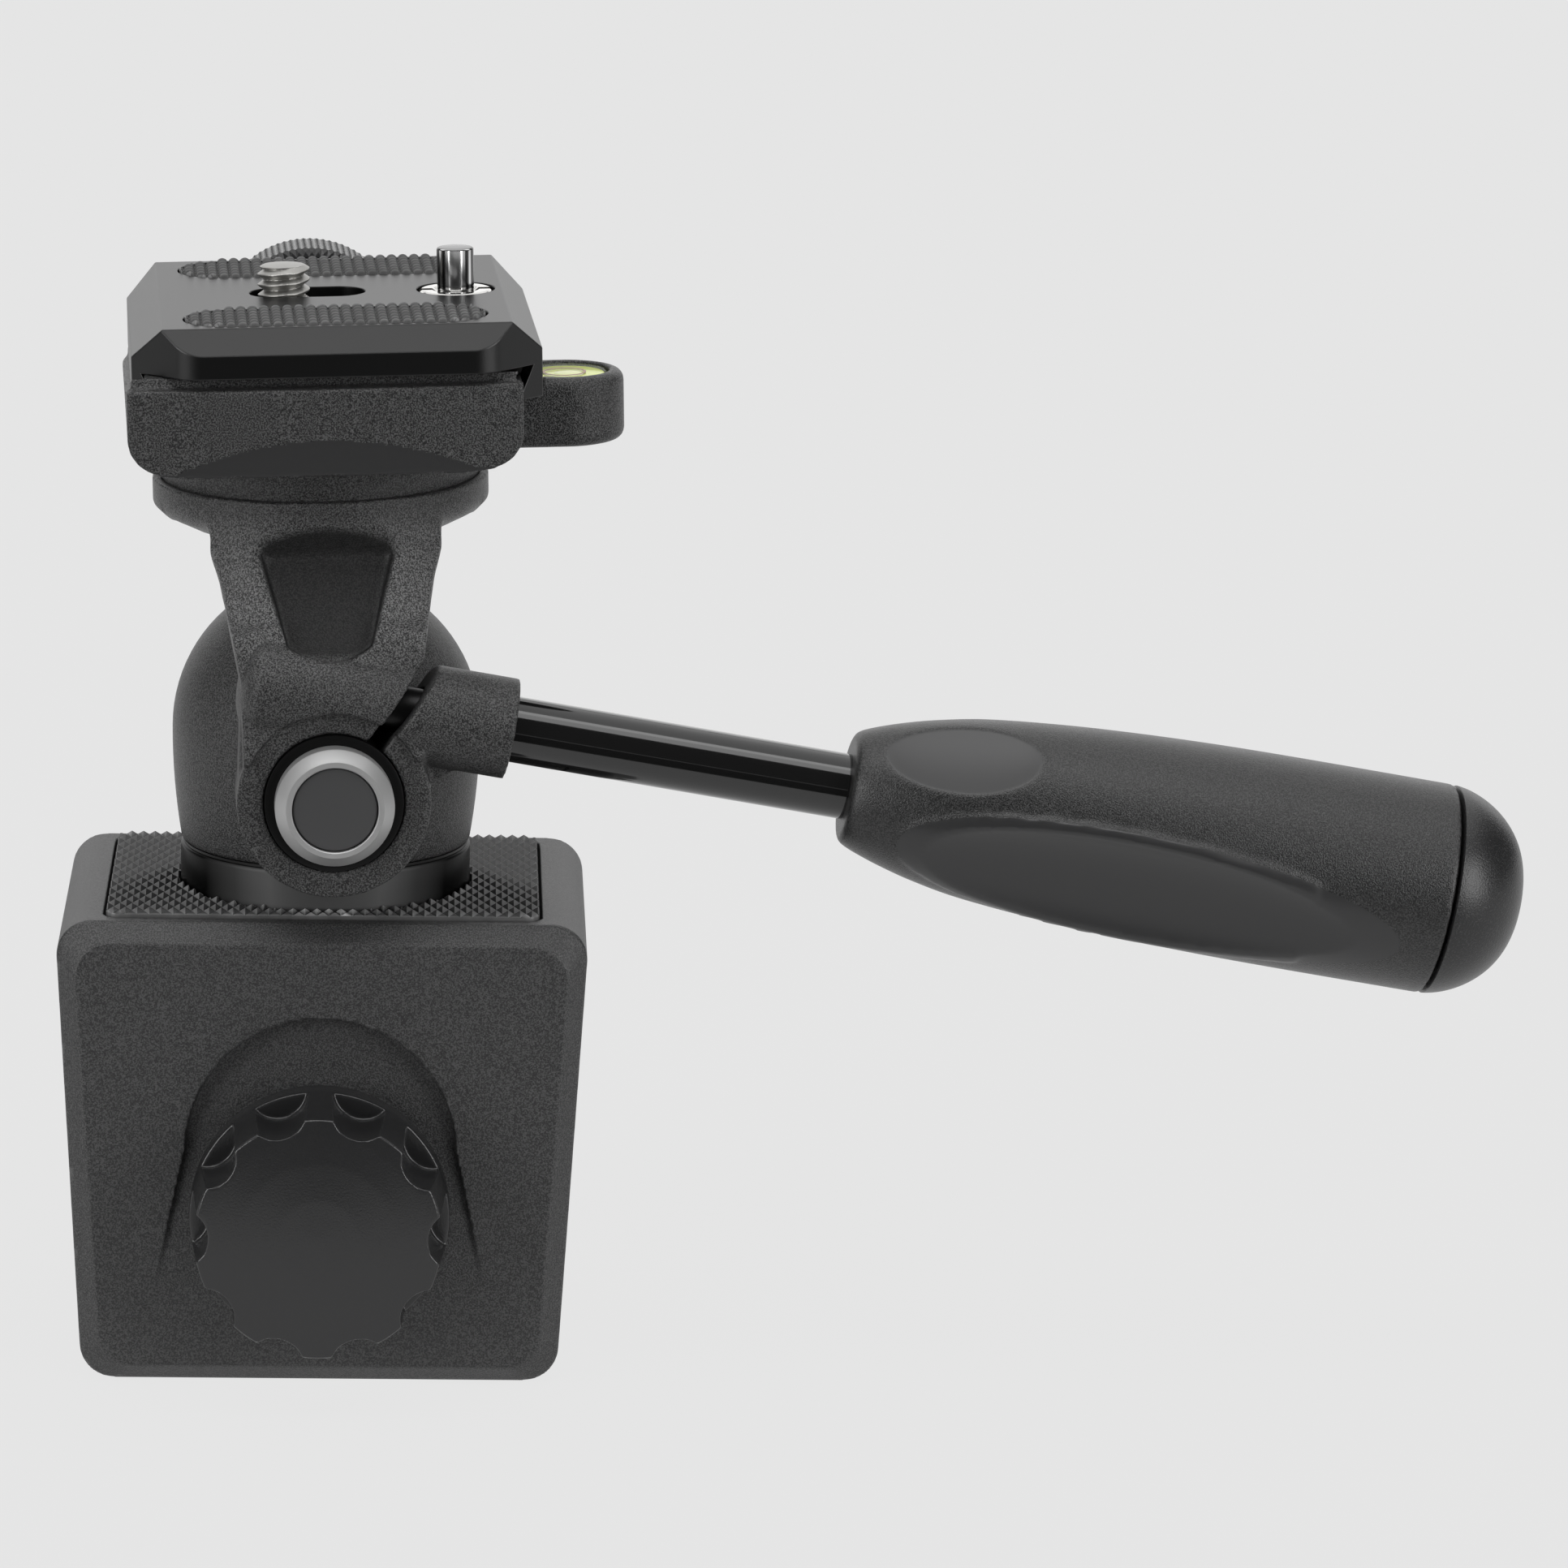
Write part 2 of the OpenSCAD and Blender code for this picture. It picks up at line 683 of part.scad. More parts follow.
module leg_cover() {
    color("dimgray")
    difference() {
        union() {
            translate([-hollow_width / 2 + seat_fit, cover_front, leg_floor + seat_fit])
                cube([hollow_width - 2 * seat_fit, cover_thickness,
                    slot_ceiling - leg_floor - 2 * seat_fit]);
            for (side = [-1, 1])
                translate([side * guide_pin_offset, 0, spindle_height])
                    bar_y(guide_boss_radius, cover_front - guide_boss_length, slot_front);
        }
        for (side = [-1, 1])
            translate([side * guide_pin_offset, 0, spindle_height])
                bar_y(guide_pin_radius + run_fit, cover_front - guide_boss_length - cut, slot_front + cut);
        spindle_place()
            bar_y(spindle_radius + pass_gap, cover_front - cut, slot_front + cut);
        cover_screw_places()
            bar_y(cover_screw_radius + seat_fit, cover_front - cut, slot_front + cut);
        cover_screw_places()
            bar_y(cover_screw_head + seat_fit, slot_front - cover_screw_sink, slot_front + cut);
    }
}

module cover_screws() {
    color("silver")
    cover_screw_places()
        union() {
            bar_y(cover_screw_radius, cover_front - cover_screw_length + cut, slot_front - 0.2);
            bar_y(cover_screw_head, slot_front - cover_screw_sink, slot_front - 0.2);
        }
}

module top_pad() {
    color("black")
    difference() {
        translate([0, (top_pad_back - top_pad_front) / 2, pad_floor])
            linear_extrude(height = top_pad_thickness)
                soft_rectangle(top_pad_width, top_pad_front + top_pad_back, 2 - pass_gap);
        translate([0, 0, pad_floor - cut])
            cylinder(r = pan_base_radius + pass_gap, h = top_pad_thickness + 2 * cut);
    }
}

module jaw_pad(y0) {
    translate([-jaw_pad_width / 2, y0, jaw_pad_bottom])
        cube([jaw_pad_width, jaw_pad_thickness, jaw_pad_height]);
}

module rear_jaw_pad() {
    color("black")
        jaw_pad(slot_back - jaw_pad_thickness);
}

module spindle_nut() {
    color("goldenrod")
    spindle_place()
        difference() {
            translate([0, nut_front, 0])
                rotate([-90, 0, 0])
                    cylinder(r = spindle_nut_flats / 2 / cos(30), h = spindle_nut_length, $fn = 6);
            bar_y(spindle_radius + run_fit, nut_front - cut, nut_boss_end + cut);
        }
}

module pressure_plate() {
    color("gray")
    difference() {
        translate([-jaw_pad_width / 2, pressure_back, jaw_pad_bottom])
            cube([jaw_pad_width, pressure_plate_thickness, jaw_pad_height]);
        spindle_place()
            bar_y(spindle_tip_radius + run_fit, pressure_back - cut, pressure_front + cut);
        spindle_place()
            bar_y(clip_radius + pass_gap, pressure_front - clip_sink, pressure_front + cut);
        for (side = [-1, 1])
            translate([side * guide_pin_offset, 0, spindle_height])
                bar_y(guide_pin_radius + seat_fit, pressure_back - cut, pressure_front + cut);
    }
}

module pressure_pad() {
    color("black")
        jaw_pad(pressure_front);
}

module guide_pins() {
    color("silver")
    for (side = [-1, 1])
        translate([side * guide_pin_offset, 0, spindle_height])
            bar_y(guide_pin_radius, pressure_back - guide_pin_length, pressure_front);
}

module clamp_spindle() {
    color("silver")
    spindle_place()
        union() {
            bar_y(spindle_radius, spindle_start, pressure_back - 0.2);
            bar_y(spindle_tip_radius, spindle_start, pressure_front - 0.2);
        }
}

module spindle_clip() {
    color("silver")
    spindle_place()
        tube_y(clip_radius, spindle_tip_radius + seat_fit,
            pressure_front - clip_thickness - 0.3, pressure_front - 0.3);
}

module clamp_knob() {
    color("#2b2b2b")
    spindle_place()
        difference() {
            translate([0, knob_back, 0])
                rotate([90, 0, 0])
                    union() {
                        cylinder(r = clamp_knob_radius, h = clamp_knob_flange);
                        translate([0, 0, clamp_knob_flange])
                            cylinder(r1 = clamp_knob_radius, r2 = clamp_knob_face_radius,
                                h = clamp_knob_length - clamp_knob_flange);
                    }
            for (i = [0 : clamp_knob_lobes - 1])
                rotate([0, (i + 0.5) * 360 / clamp_knob_lobes, 0])
                    translate([0, 0, clamp_knob_face_radius + clamp_knob_scallop - clamp_knob_scallop_depth])
                        bar_y(clamp_knob_scallop, knob_front - cut, knob_back - clamp_knob_flange - 0.4);
            bar_y(spindle_radius + seat_fit, spindle_start, knob_back + cut);
        }
}

module pan_base() {
    color("#1a1a1a")
    difference() {
        translate([0, 0, pad_floor])
            cylinder(r = pan_base_radius, h = clamp_height + pan_base_height - pad_floor);
        translate([0, 0, pad_floor - cut])
            cylinder(r = pan_bolt_radius + run_fit, h = bridge_thickness + pan_base_height);
    }
}

module pan_washer() {
    color("silver")
    translate([0, 0, clamp_height + pan_base_height])
        difference() {
            cylinder(r = barrel_foot_radius - 0.2, h = pan_washer_thickness);
            translate([0, 0, -cut])
                cylinder(r = pan_bolt_radius + run_fit, h = pan_washer_thickness + 2 * cut);
        }
}

module pan_bolt() {
    head_top = bolt_seat - spring_washer_thickness - seat_fit;
    color("silver")
    pan_frame()
        union() {
            translate([0, 0, head_top - pan_bolt_head_height])
                cylinder(r = pan_bolt_head_radius, h = pan_bolt_head_height);
            translate([0, 0, head_top - cut])
                cylinder(r = pan_bolt_radius, h = barrel_foot + pan_bolt_grip - head_top + cut);
        }
}

module spring_washer() {
    color("silver")
    translate([0, 0, bolt_seat - spring_washer_thickness])
        difference() {
            cylinder(r = spring_washer_radius, h = spring_washer_thickness);
            translate([0, 0, -cut])
                cylinder(r = pan_bolt_radius + run_fit, h = spring_washer_thickness + 2 * cut);
        }
}

// Half section of the barrel: a shallow belly below the widest ring, a ball above it
module barrel_profile() {
    belly_radius = (pow(barrel_belly, 2) + pow(barrel_waist, 2)) / (2 * barrel_belly);
    intersection() {
        translate([barrel_radius - belly_radius, barrel_waist])
            circle(r = belly_radius, $fn = 360);
        square([barrel_radius, barrel_waist]);
    }
    intersection() {
        translate([0, barrel_waist])
            circle(r = barrel_radius, $fn = 96);
        translate([0, barrel_waist])
            square([barrel_radius, barrel_height - barrel_waist]);
    }
}

module pan_body() {
    color("#262626")
    pan_frame()
        difference() {
            translate([0, 0, barrel_foot])
                rotate_extrude($fn = 96)
                    barrel_profile();
            translate([-barrel_radius, -2 * barrel_radius, barrel_foot - cut])
                cube([2 * barrel_radius, 2 * barrel_radius - barrel_flat, barrel_height + 2 * cut]);
            translate([0, 0, barrel_foot - cut])
                cylinder(r = pan_bolt_radius + seat_fit, h = pan_bolt_grip + 2 * cut);
            translate([0, 0, tilt_z])
                bar_y(axle_radius + seat_fit, -2 * barrel_radius, -axle_back + seat_fit);
        }
}

module tilt_axle() {
    color("silver")
    axle_frame()
        difference() {
            bar_y(axle_radius, -bush_front, -axle_back);
            bar_y(axle_screw_radius + seat_fit, -bush_front - cut, -bush_front + axle_screw_length);
        }
}

module thrust_washer() {
    color("black")
    axle_frame()
        tube_y(boss_radius - 2, axle_radius + seat_fit, -barrel_flat - thrust_thickness, -barrel_flat);
}

module tilt_bush() {
    color("#101010")
    axle_frame()
        difference() {
            union() {
                bar_y(bush_radius, -bush_front, -bracket_back);
                bar_y(bush_flange_radius, -bush_front, -bush_front + bush_flange_thickness);
            }
            bar_y(axle_radius + seat_fit, -bush_front - cut, -bracket_back + cut);
        }
}

module axle_cap() {
    color("lightgray")
    axle_frame()
        rotate([90, 0, 0])
            rotate_extrude($fn = 96)
                polygon([[axle_screw_radius + seat_fit, cap_back], [cap_radius, cap_back],
                    [cap_radius, cap_front - 1.8], [cap_flat_radius, cap_front],
                    [cap_disc_radius + seat_fit, cap_front],
                    [cap_disc_radius + seat_fit, cap_back + cap_web],
                    [axle_screw_radius + seat_fit, cap_back + cap_web]]);
}

module axle_screw() {
    color("silver")
    axle_frame()
        union() {
            bar_y(axle_screw_radius, -cap_back - cap_web - cut / 2, -bush_front + axle_screw_length - cut);
            bar_y(axle_screw_head, -cap_back - cap_web - axle_screw_head_height, -cap_back - cap_web);
        }
}

module cap_disc() {
    back = cap_back + cap_web + axle_screw_head_height + seat_fit;
    color("#303030")
    axle_frame()
        bar_y(cap_disc_radius, -back - cap_disc_thickness, -back);
}

// Arm outline seen from the front, widening towards the disc
module arm_outline() {
    wide = arm_top_half_width + arm_flare_step;
    polygon([[-arm_half_width, arm_base], [arm_half_width, arm_base], [arm_half_width, arm_waist],
        [arm_top_half_width, arm_flare], [wide, arm_top], [wide, arm_top + arm_root],
        [-wide, arm_top + arm_root], [-wide, arm_top],
        [-arm_top_half_width, arm_flare], [-arm_half_width, arm_waist]]);
}

// Frame on the arm's front face, leaning back towards the disc
module arm_frame() {
    translate([0, -boss_front, arm_lean_height])
        rotate([-arm_lean, 0, 0])
            translate([0, 0, -arm_lean_height])
                children();
}

module arm_solid() {
    intersection() {
        arm_frame()
            slab_y(0, arm_thickness)
                arm_outline();
        cylinder(r1 = disc_radius + arm_cone_slope * (disc_height - 1), r2 = disc_radius - 0.1,
            h = disc_height - 1);
    }
}

// Pocket in the front of the arm, with a round lower edge, a deeper upper end and a sloping ceiling
module arm_pocket() {
    sag = 1.9;
    steps = 8;
    low = pocket_bottom - 2 * sag;
    arm_end = disc_height + disc_thickness;
    flare = (pocket_half_width - pocket_low_half_width) / (pocket_top - pocket_bottom);
    end_half_width = pocket_half_width + flare * (arm_end - pocket_top);
    deepening = tan(pocket_lean);
    top_depth = (pocket_depth + deepening * (pocket_top - pocket_bottom)) / (1 + deepening);
    low_edge = [for (i = [0 : steps])
        let (x = pocket_low_half_width * (2 * i / steps - 1))
            [x, pocket_bottom - sag * (1 - pow(x / pocket_low_half_width, 2))]];
    arm_frame()
        intersection() {
            slab_y(-cut, 2 * arm_thickness)
                polygon(concat([[-end_half_width, arm_end]], low_edge, [[end_half_width, arm_end]]));
            translate([-2 * pocket_half_width, 0, 0])
                rotate([90, 0, 90])
                    linear_extrude(height = 4 * pocket_half_width)
                        polygon([[-2 * cut, low], [pocket_depth - deepening * (pocket_bottom - low), low],
                            [top_depth, pocket_top - top_depth], [-2 * cut, pocket_top + 2 * cut]]);
        }
}

// Gusset behind the arm, under the disc
module arm_gusset() {
    gusset_front = disc_radius - gusset_inset;
    gusset_top = disc_height - disc_thickness + 0.5;
    translate([-gusset_half_width, 0, 0])
        rotate([90, 0, 90])
            linear_extrude(height = 2 * gusset_half_width)
                polygon([[-gusset_front, gusset_top],
                    [-gusset_front - gusset_heel, gusset_top - gusset_drop - gusset_toe],
                    [-gusset_front - gusset_toe, gusset_top - gusset_drop],
                    [gusset_reach - gusset_front, gusset_top]]);
}

module disc_solid() {
    edge = disc_thickness / 3.4;
    translate([0, 0, disc_height - disc_thickness])
        rotate_extrude($fn = 96)
            polygon([[0, 0], [disc_radius - edge, 0], [disc_radius, edge],
                [disc_radius, disc_thickness], [0, disc_thickness]]);
}

module tilt_bracket() {
    color("#2a2a2a")
    tilt_frame()
        difference() {
            union() {
                disc_solid();
                arm_solid();
                arm_gusset();
                bar_y(boss_radius, -boss_front, -bracket_back + 2);
                handle_place()
                    translate([0, 0, -socket_back_reach])
                        cylinder(r = socket_radius, h = socket_reach + socket_back_reach);
            }
            bar_y(bush_radius + run_fit, -bore_reach, 0);
            bar_y(boss_spot_radius, -bore_reach, -boss_front + spot_depth);
            bar_y(bush_flange_radius + run_fit + 0.05, -bore_reach,
                -bush_front + bush_flange_thickness + pass_gap);
            translate([-bore_reach, -bracket_back, -bore_reach])
                cube([2 * bore_reach, bore_reach, bore_reach + bracket_back_top]);
            rotate([0, -split_angle, 0])
                translate([split_start, -bore_reach, -split_width / 2])
                    cube([split_length, bore_reach, split_width]);
            arm_pocket();
            handle_place()
                translate([0, 0, rod_seat_start])
                    cylinder(r = rod_radius + run_fit, h = rod_seat + cut);
            handle_place()
                translate([0, 0, socket_end_wall - socket_back_reach])
                    cylinder(r = rod_thread_radius + run_fit,
                        h = socket_reach + socket_back_reach - socket_end_wall - cut);
            handle_place()
                translate([-nut_half - seat_fit, -nut_front_half - seat_fit, -handle_nut_end - seat_fit])
                    cube([2 * nut_half + 2 * seat_fit, bore_reach,
                        handle_nut_length + 2 * seat_fit]);
            translate([0, 0, disc_height - spigot_seat])
                cylinder(r = spigot_radius + seat_fit, h = spigot_seat + cut);
            translate([0, 0, disc_height - 2 * disc_thickness])
                cylinder(r = platform_screw_radius + seat_fit, h = 3 * disc_thickness);
            translate([0, 0, disc_height - 3 * disc_thickness])
                cylinder(r = screw_head_radius + seat_fit, h = 2 * disc_thickness + 0.8);
            platform_pin_places()
                translate([0, 0, disc_height - 2 * disc_thickness])
                    cylinder(r = platform_pin_radius + seat_fit, h = 3 * disc_thickness);
        }
}

module platform_pin_places() {
    for (side = [-1, 1])
        translate([side * platform_pin_offset, 0, 0])
            children();
}

module handle_nut() {
    color("goldenrod")
    handle_frame()
        difference() {
            translate([-nut_half, -nut_front_half, -handle_nut_end])
                cube([2 * nut_half, nut_front_half + nut_back_half, handle_nut_length]);
            translate([0, 0, -handle_nut_end - cut])
                cylinder(r = rod_thread_radius + run_fit, h = handle_nut_length + 2 * cut);
        }
}

module handle_rod() {
    color("#151515")
    handle_frame()
        union() {
            translate([0, 0, rod_seat_start + 0.2])
                cylinder(r = rod_radius, h = grip_start + rod_in_grip - rod_seat_start - 0.2);
            translate([0, 0, -handle_nut_end])
                cylinder(r = rod_thread_radius, h = rod_seat_start + handle_nut_end + cut);
        }
}

// Half section of the grip, a smooth swell from the collar to the seam
module grip_profile() {
    collar = 2.2;
    steps = 10;
    fullness = 0.5;
    length = grip_seam - grip_start - collar;
    swell = grip_radius - grip_collar_radius;
    side = [for (i = [0 : steps])
        [grip_collar_radius + swell * pow(sin(90 * i / steps), fullness),
            grip_start + collar + length * (i / steps) * (0.55 + 0.45 * i / steps)]];
    polygon(concat([[0, grip_start], [grip_collar_radius - 0.5, grip_start],
        [grip_collar_radius, grip_start + 0.5]], side, [[0, grip_seam]]));
}

module handle_grip() {
    color("#242424")
    handle_frame()
        difference() {
            rotate_extrude($fn = 96)
                grip_profile();
            translate([0, 0, grip_start - cut])
                cylinder(r = rod_radius + seat_fit, h = rod_in_grip + cut + seat_fit);
        }
}

module grip_end_cap() {
    seam = 0.3;
    steps = 12;
    dome = end_cap_length - seam;
    side = [for (i = [0 : steps])
        let (along = sin(90 * i / steps))
            [grip_radius * pow(1 - pow(along, 1.6), 0.38), dome * along]];
    color("#1c1c1c")
    handle_frame()
        translate([0, 0, grip_seam + seam])
            rotate_extrude($fn = 96)
                polygon(concat([[0, 0]], side));
}

// Slice of the platform at a height, with its outline inset
module platform_slice(z, inset, height) {
    translate([0, (platform_back - platform_front) / 2, z])
        linear_extrude(height = height)
            soft_rectangle(platform_width - 2 * inset, platform_front + platform_back - 2 * inset,
                platform_corner + inset);
}

module platform_block() {
    skin = 0.01;
    hull() {
        platform_slice(platform_bottom + taper_rise, 0, platform_top - platform_bottom - taper_rise);
        platform_slice(platform_bottom + 0.57 * taper_rise, 0.23 * taper_inset, skin);
        platform_slice(platform_bottom + 0.38 * taper_rise, 0.46 * taper_inset, skin);
        platform_slice(platform_bottom, taper_inset, skin);
    }
}

// Space over the shoulders that the plate claws hang in
module claw_space() {
    reach = claw_half_depth + pass_gap;
    slab_y(-reach, platform_back + cut)
        polygon([[-platform_width, shoulder_height], [rail_left_low, shoulder_height],
            [rail_left_top, platform_top], [rail_left_top, platform_top + cut],
            [-platform_width, platform_top + cut]]);
    slab_y(-reach, platform_back + cut)
        polygon([[rail_right, shoulder_height], [claw_space_end, shoulder_height],
            [claw_space_end, platform_top + cut], [rail_right, platform_top + cut]]);
}

module platform() {
    color("#2a2a2a")
    tilt_frame()
        difference() {
            union() {
                platform_block();
                translate([0, 0, disc_height - spigot_seat + seat_fit])
                    cylinder(r = spigot_radius, h = platform_bottom - disc_height + spigot_seat + cut);
                translate([level_x, level_y, level_bottom])
                    cylinder(r = level_ear_radius, h = level_top - level_bottom);
                translate([0, 0, lock_height])
                    bar_y(lock_boss_radius, platform_back - cut, lock_knob_start - 0.1);
                translate([0, level_y - level_ear_radius, level_bottom])
                    cube([level_x, 2 * level_ear_radius, shoulder_height - level_bottom]);
            }
            claw_space();
            translate([-platform_width, -2 * platform_front, lip_height])
                cube([2 * platform_width, 2 * platform_front - claw_half_depth - 2 * pass_gap, platform_top]);
            translate([channel_start, -channel_half_length, channel_floor])
                cube([jaw_low_end + pass_gap - channel_start, 2 * channel_half_length, platform_top]);
            translate([channel_start, -channel_half_length, shoulder_height])
                cube([claw_space_end - channel_start, 2 * channel_half_length, platform_top]);
            translate([level_x, level_y, level_top - level_vial_depth])
                cylinder(r = level_vial_radius + seat_fit, h = level_vial_depth + cut);
            translate([0, 0, disc_height - spigot_seat])
                cylinder(r = platform_screw_radius + seat_fit,
                    h = channel_floor - disc_height + spigot_seat - 0.6);
            platform_pin_places()
                translate([0, 0, disc_height - spigot_seat])
                    cylinder(r = platform_pin_radius + seat_fit,
                        h = channel_floor - disc_height + spigot_seat - 1);
            translate([0, 0, lock_height])
                bar_y(lock_screw_radius + run_fit, 0, lock_knob_start + cut);
        }
}

module platform_screw() {
    color("silver")
    tilt_frame()
        union() {
            translate([0, 0, disc_height - disc_thickness + 0.8 - screw_head_height])
                cylinder(r = screw_head_radius, h = screw_head_height);
            translate([0, 0, disc_height - disc_thickness])
                cylinder(r = platform_screw_radius, h = channel_floor - disc_height + disc_thickness - 1);
        }
}

module platform_pins() {
    color("silver")
    tilt_frame()
        platform_pin_places()
            translate([0, 0, disc_height - disc_thickness + 0.4])
                cylinder(r = platform_pin_radius, h = channel_floor - disc_height + disc_thickness - 1.8);
}

module level_vial() {
    color("white", 0.4)
    tilt_frame()
        translate([level_x, level_y, level_top - level_vial_depth])
            difference() {
                cylinder(r = level_vial_radius, h = vial_height);
                translate([0, 0, vial_wall])
                    cylinder(r = level_vial_radius - vial_wall, h = vial_height - 2 * vial_wall);
            }
}

module level_liquid() {
    color("yellowgreen")
    tilt_frame()
        translate([level_x, level_y, level_top - level_vial_depth + vial_wall + seat_fit])
            cylinder(r = level_vial_radius - vial_wall - seat_fit,
                h = vial_height - 2 * vial_wall - 2 * seat_fit);
}

// The wedge and the jaw meet on faces of the same slope
module wedge_plan() {
    turn_y = (wedge_least_x - wedge_half_width) / wedge_rise;
    polygon([[-wedge_half_width, -wedge_half_length], [wedge_least_x, -wedge_half_length],
        [wedge_least_x, turn_y], [wedge_half_width + wedge_rise * wedge_half_length, wedge_half_length],
        [-wedge_half_width, wedge_half_length]]);
}

module lock_wedge() {
    color("silver")
    tilt_frame()
        difference() {
            translate([0, 0, jaw_floor])
                linear_extrude(height = jaw_roof - jaw_floor)
                    wedge_plan();
            translate([0, 0, lock_height])
                bar_y(lock_screw_radius + run_fit, -wedge_half_length - cut, wedge_half_length + cut);
        }
}

module lock_jaw() {
    start = wedge_half_width + 0.1;
    turn_y = (jaw_least_x - start) / wedge_rise;
    color("silver")
    tilt_frame()
        intersection() {
            translate([0, 0, jaw_floor])
                linear_extrude(height = jaw_roof - jaw_floor)
                    difference() {
                        polygon([[jaw_least_x, -jaw_half_length], [platform_width, -jaw_half_length],
                            [platform_width, jaw_half_length],
                            [start + wedge_rise * jaw_half_length, jaw_half_length], [jaw_least_x, turn_y]]);
                        translate([jaw_bar_end, -jaw_arm_inner])
                            square([platform_width, 2 * jaw_arm_inner]);
                    }
            slab_y(-jaw_half_length - cut, jaw_half_length + cut)
                polygon([[0, jaw_floor - cut], [jaw_low_end, jaw_floor - cut],
                    [jaw_low_end, shoulder_height + 0.2], [jaw_low_x, shoulder_height + 0.2],
                    [jaw_top_x, platform_top], [0, platform_top]]);
        }
}

module lock_screw() {
    color("silver")
    tilt_frame()
        translate([0, 0, lock_height])
            bar_y(lock_screw_radius, lock_screw_start, lock_knob_start + lock_knob_length - 2);
}

module lock_collar() {
    color("silver")
    tilt_frame()
        translate([0, 0, lock_height])
            tube_y(lock_collar_radius, lock_screw_radius + seat_fit,
                channel_half_length - 0.1 - lock_collar_length, channel_half_length - 0.1);
}

module lock_knob() {
    color("#1c1c1c")
    tilt_frame()
        translate([0, 0, lock_height])
            difference() {
                bar_y(lock_knob_radius, lock_knob_start, lock_knob_start + lock_knob_length);
                bar_y(lock_screw_radius + seat_fit, lock_knob_start - cut,
                    lock_knob_start + lock_knob_length - 2 + seat_fit);
            }
}

// Plate section across Y, with bevelled sides and hooked claws
module plate_section() {
    side = [[plate_half - claw_root, plate_bottom], [plate_half - claw_hook, claw_bottom + claw_edge],
        [plate_half - claw_hook + claw_edge, claw_bottom], [plate_half, claw_bottom],
        [plate_half, plate_top - side_bevel_drop], [plate_half - side_bevel, plate_top]];
    polygon(concat(side, [for (i = [len(side) - 1 : -1 : 0]) [-side[i][0], side[i][1]]]));
}

// Plate section across X, with bevelled ends and shorter claws
module plate_end_section() {
    top_half_depth = plate_half_depth - end_bevel * (1 + cut / end_bevel_drop);
    polygon([[-plate_half_depth, plate_bottom], [-claw_half_depth, plate_bottom],
        [-claw_half_depth, claw_bottom - cut], [claw_half_depth, claw_bottom - cut],
        [claw_half_depth, plate_bottom], [plate_half_depth, plate_bottom],
        [plate_half_depth, plate_top - end_bevel_drop], [top_half_depth, plate_top + cut],
        [-top_half_depth, plate_top + cut], [-plate_half_depth, plate_top - end_bevel_drop]]);
}

// Plan of the plate, with cut corners
module plate_plan() {
    straight_x = plate_half - plate_corner;
    straight_y = plate_half_depth - plate_corner;
    polygon([[-straight_x, -plate_half_depth - cut], [straight_x, -plate_half_depth - cut],
        [straight_x, -plate_half_depth], [plate_half, -straight_y], [plate_half + cut, -straight_y],
        [plate_half + cut, straight_y], [plate_half, straight_y], [straight_x, plate_half_depth],
        [straight_x, plate_half_depth + cut], [-straight_x, plate_half_depth + cut],
        [-straight_x, plate_half_depth], [-plate_half, straight_y], [-plate_half - cut, straight_y],
        [-plate_half - cut, -straight_y], [-plate_half, -straight_y], [-straight_x, -plate_half_depth]]);
}

module plate_place() {
    translate([plate_shift, 0, 0])
        children();
}

module strip_places() {
    for (side = [-1, 1])
        translate([plate_shift, side * strip_offset, 0])
            children();
}

module quick_plate() {
    groove = 0.9;
    color("#1e1e1e")
    tilt_frame()
        difference() {
            plate_place()
                intersection() {
                    slab_y(-plate_half_depth - cut, plate_half_depth + cut)
                        plate_section();
                    translate([-plate_half - cut, 0, 0])
                        rotate([90, 0, 90])
                            linear_extrude(height = plate_width + 2 * cut)
                                plate_end_section();
                    translate([0, 0, claw_bottom - cut])
                        linear_extrude(height = plate_top - claw_bottom + 2 * cut)
                            plate_plan();
                }
            strip_places()
                translate([0, 0, plate_top - groove])
                    linear_extrude(height = groove + cut)
                        round_slot(strip_length + 2 * seat_fit, strip_width + 2 * seat_fit);
            translate([screw_slot_x, 0, plate_bottom - cut])
                linear_extrude(height = plate_thickness + 2 * cut)
                    round_slot(screw_slot_length, screw_slot_width);
            translate([screw_slot_x, 0, plate_bottom - cut])
                linear_extrude(height = head_sink + cut)
                    round_slot(screw_slot_length + 2 * camera_head_radius - screw_slot_width + 1,
                        2 * camera_head_radius + 1);
            translate([video_pin_x, 0, plate_bottom - cut])
                cylinder(r = pin_nut_radius + seat_fit, h = plate_thickness + 2 * cut);
        }
}

module rubber_strips() {
    groove = 0.9;
    color("black")
    tilt_frame()
        strip_places()
            translate([0, 0, plate_top - groove])
                linear_extrude(height = groove + strip_proud)
                    round_slot(strip_length, strip_width);
}

module camera_screw() {
    color("silver")
    tilt_frame()
        translate([camera_screw_x, 0, 0])
            union() {
                translate([0, 0, plate_bottom + 0.1])
                    cylinder(r = camera_head_radius, h = camera_head_height);
                translate([0, 0, plate_bottom + 0.2])
                    cylinder(r = neck_radius, h = plate_thickness + camera_screw_height - 0.4);
                translate([0, 0, neck_top])
                    cylinder(r = camera_screw_radius, h = plate_top + camera_screw_height - neck_top);
            }
}

module screw_clip() {
    thickness = 0.25;
    color("silver")
    tilt_frame()
        translate([camera_screw_x, 0, plate_bottom + 0.1 + camera_head_height])
            difference() {
                cylinder(r = clip_ring_radius, h = thickness);
                translate([0, 0, -cut])
                    cylinder(r = neck_radius + seat_fit, h = thickness + 2 * cut);
            }
}

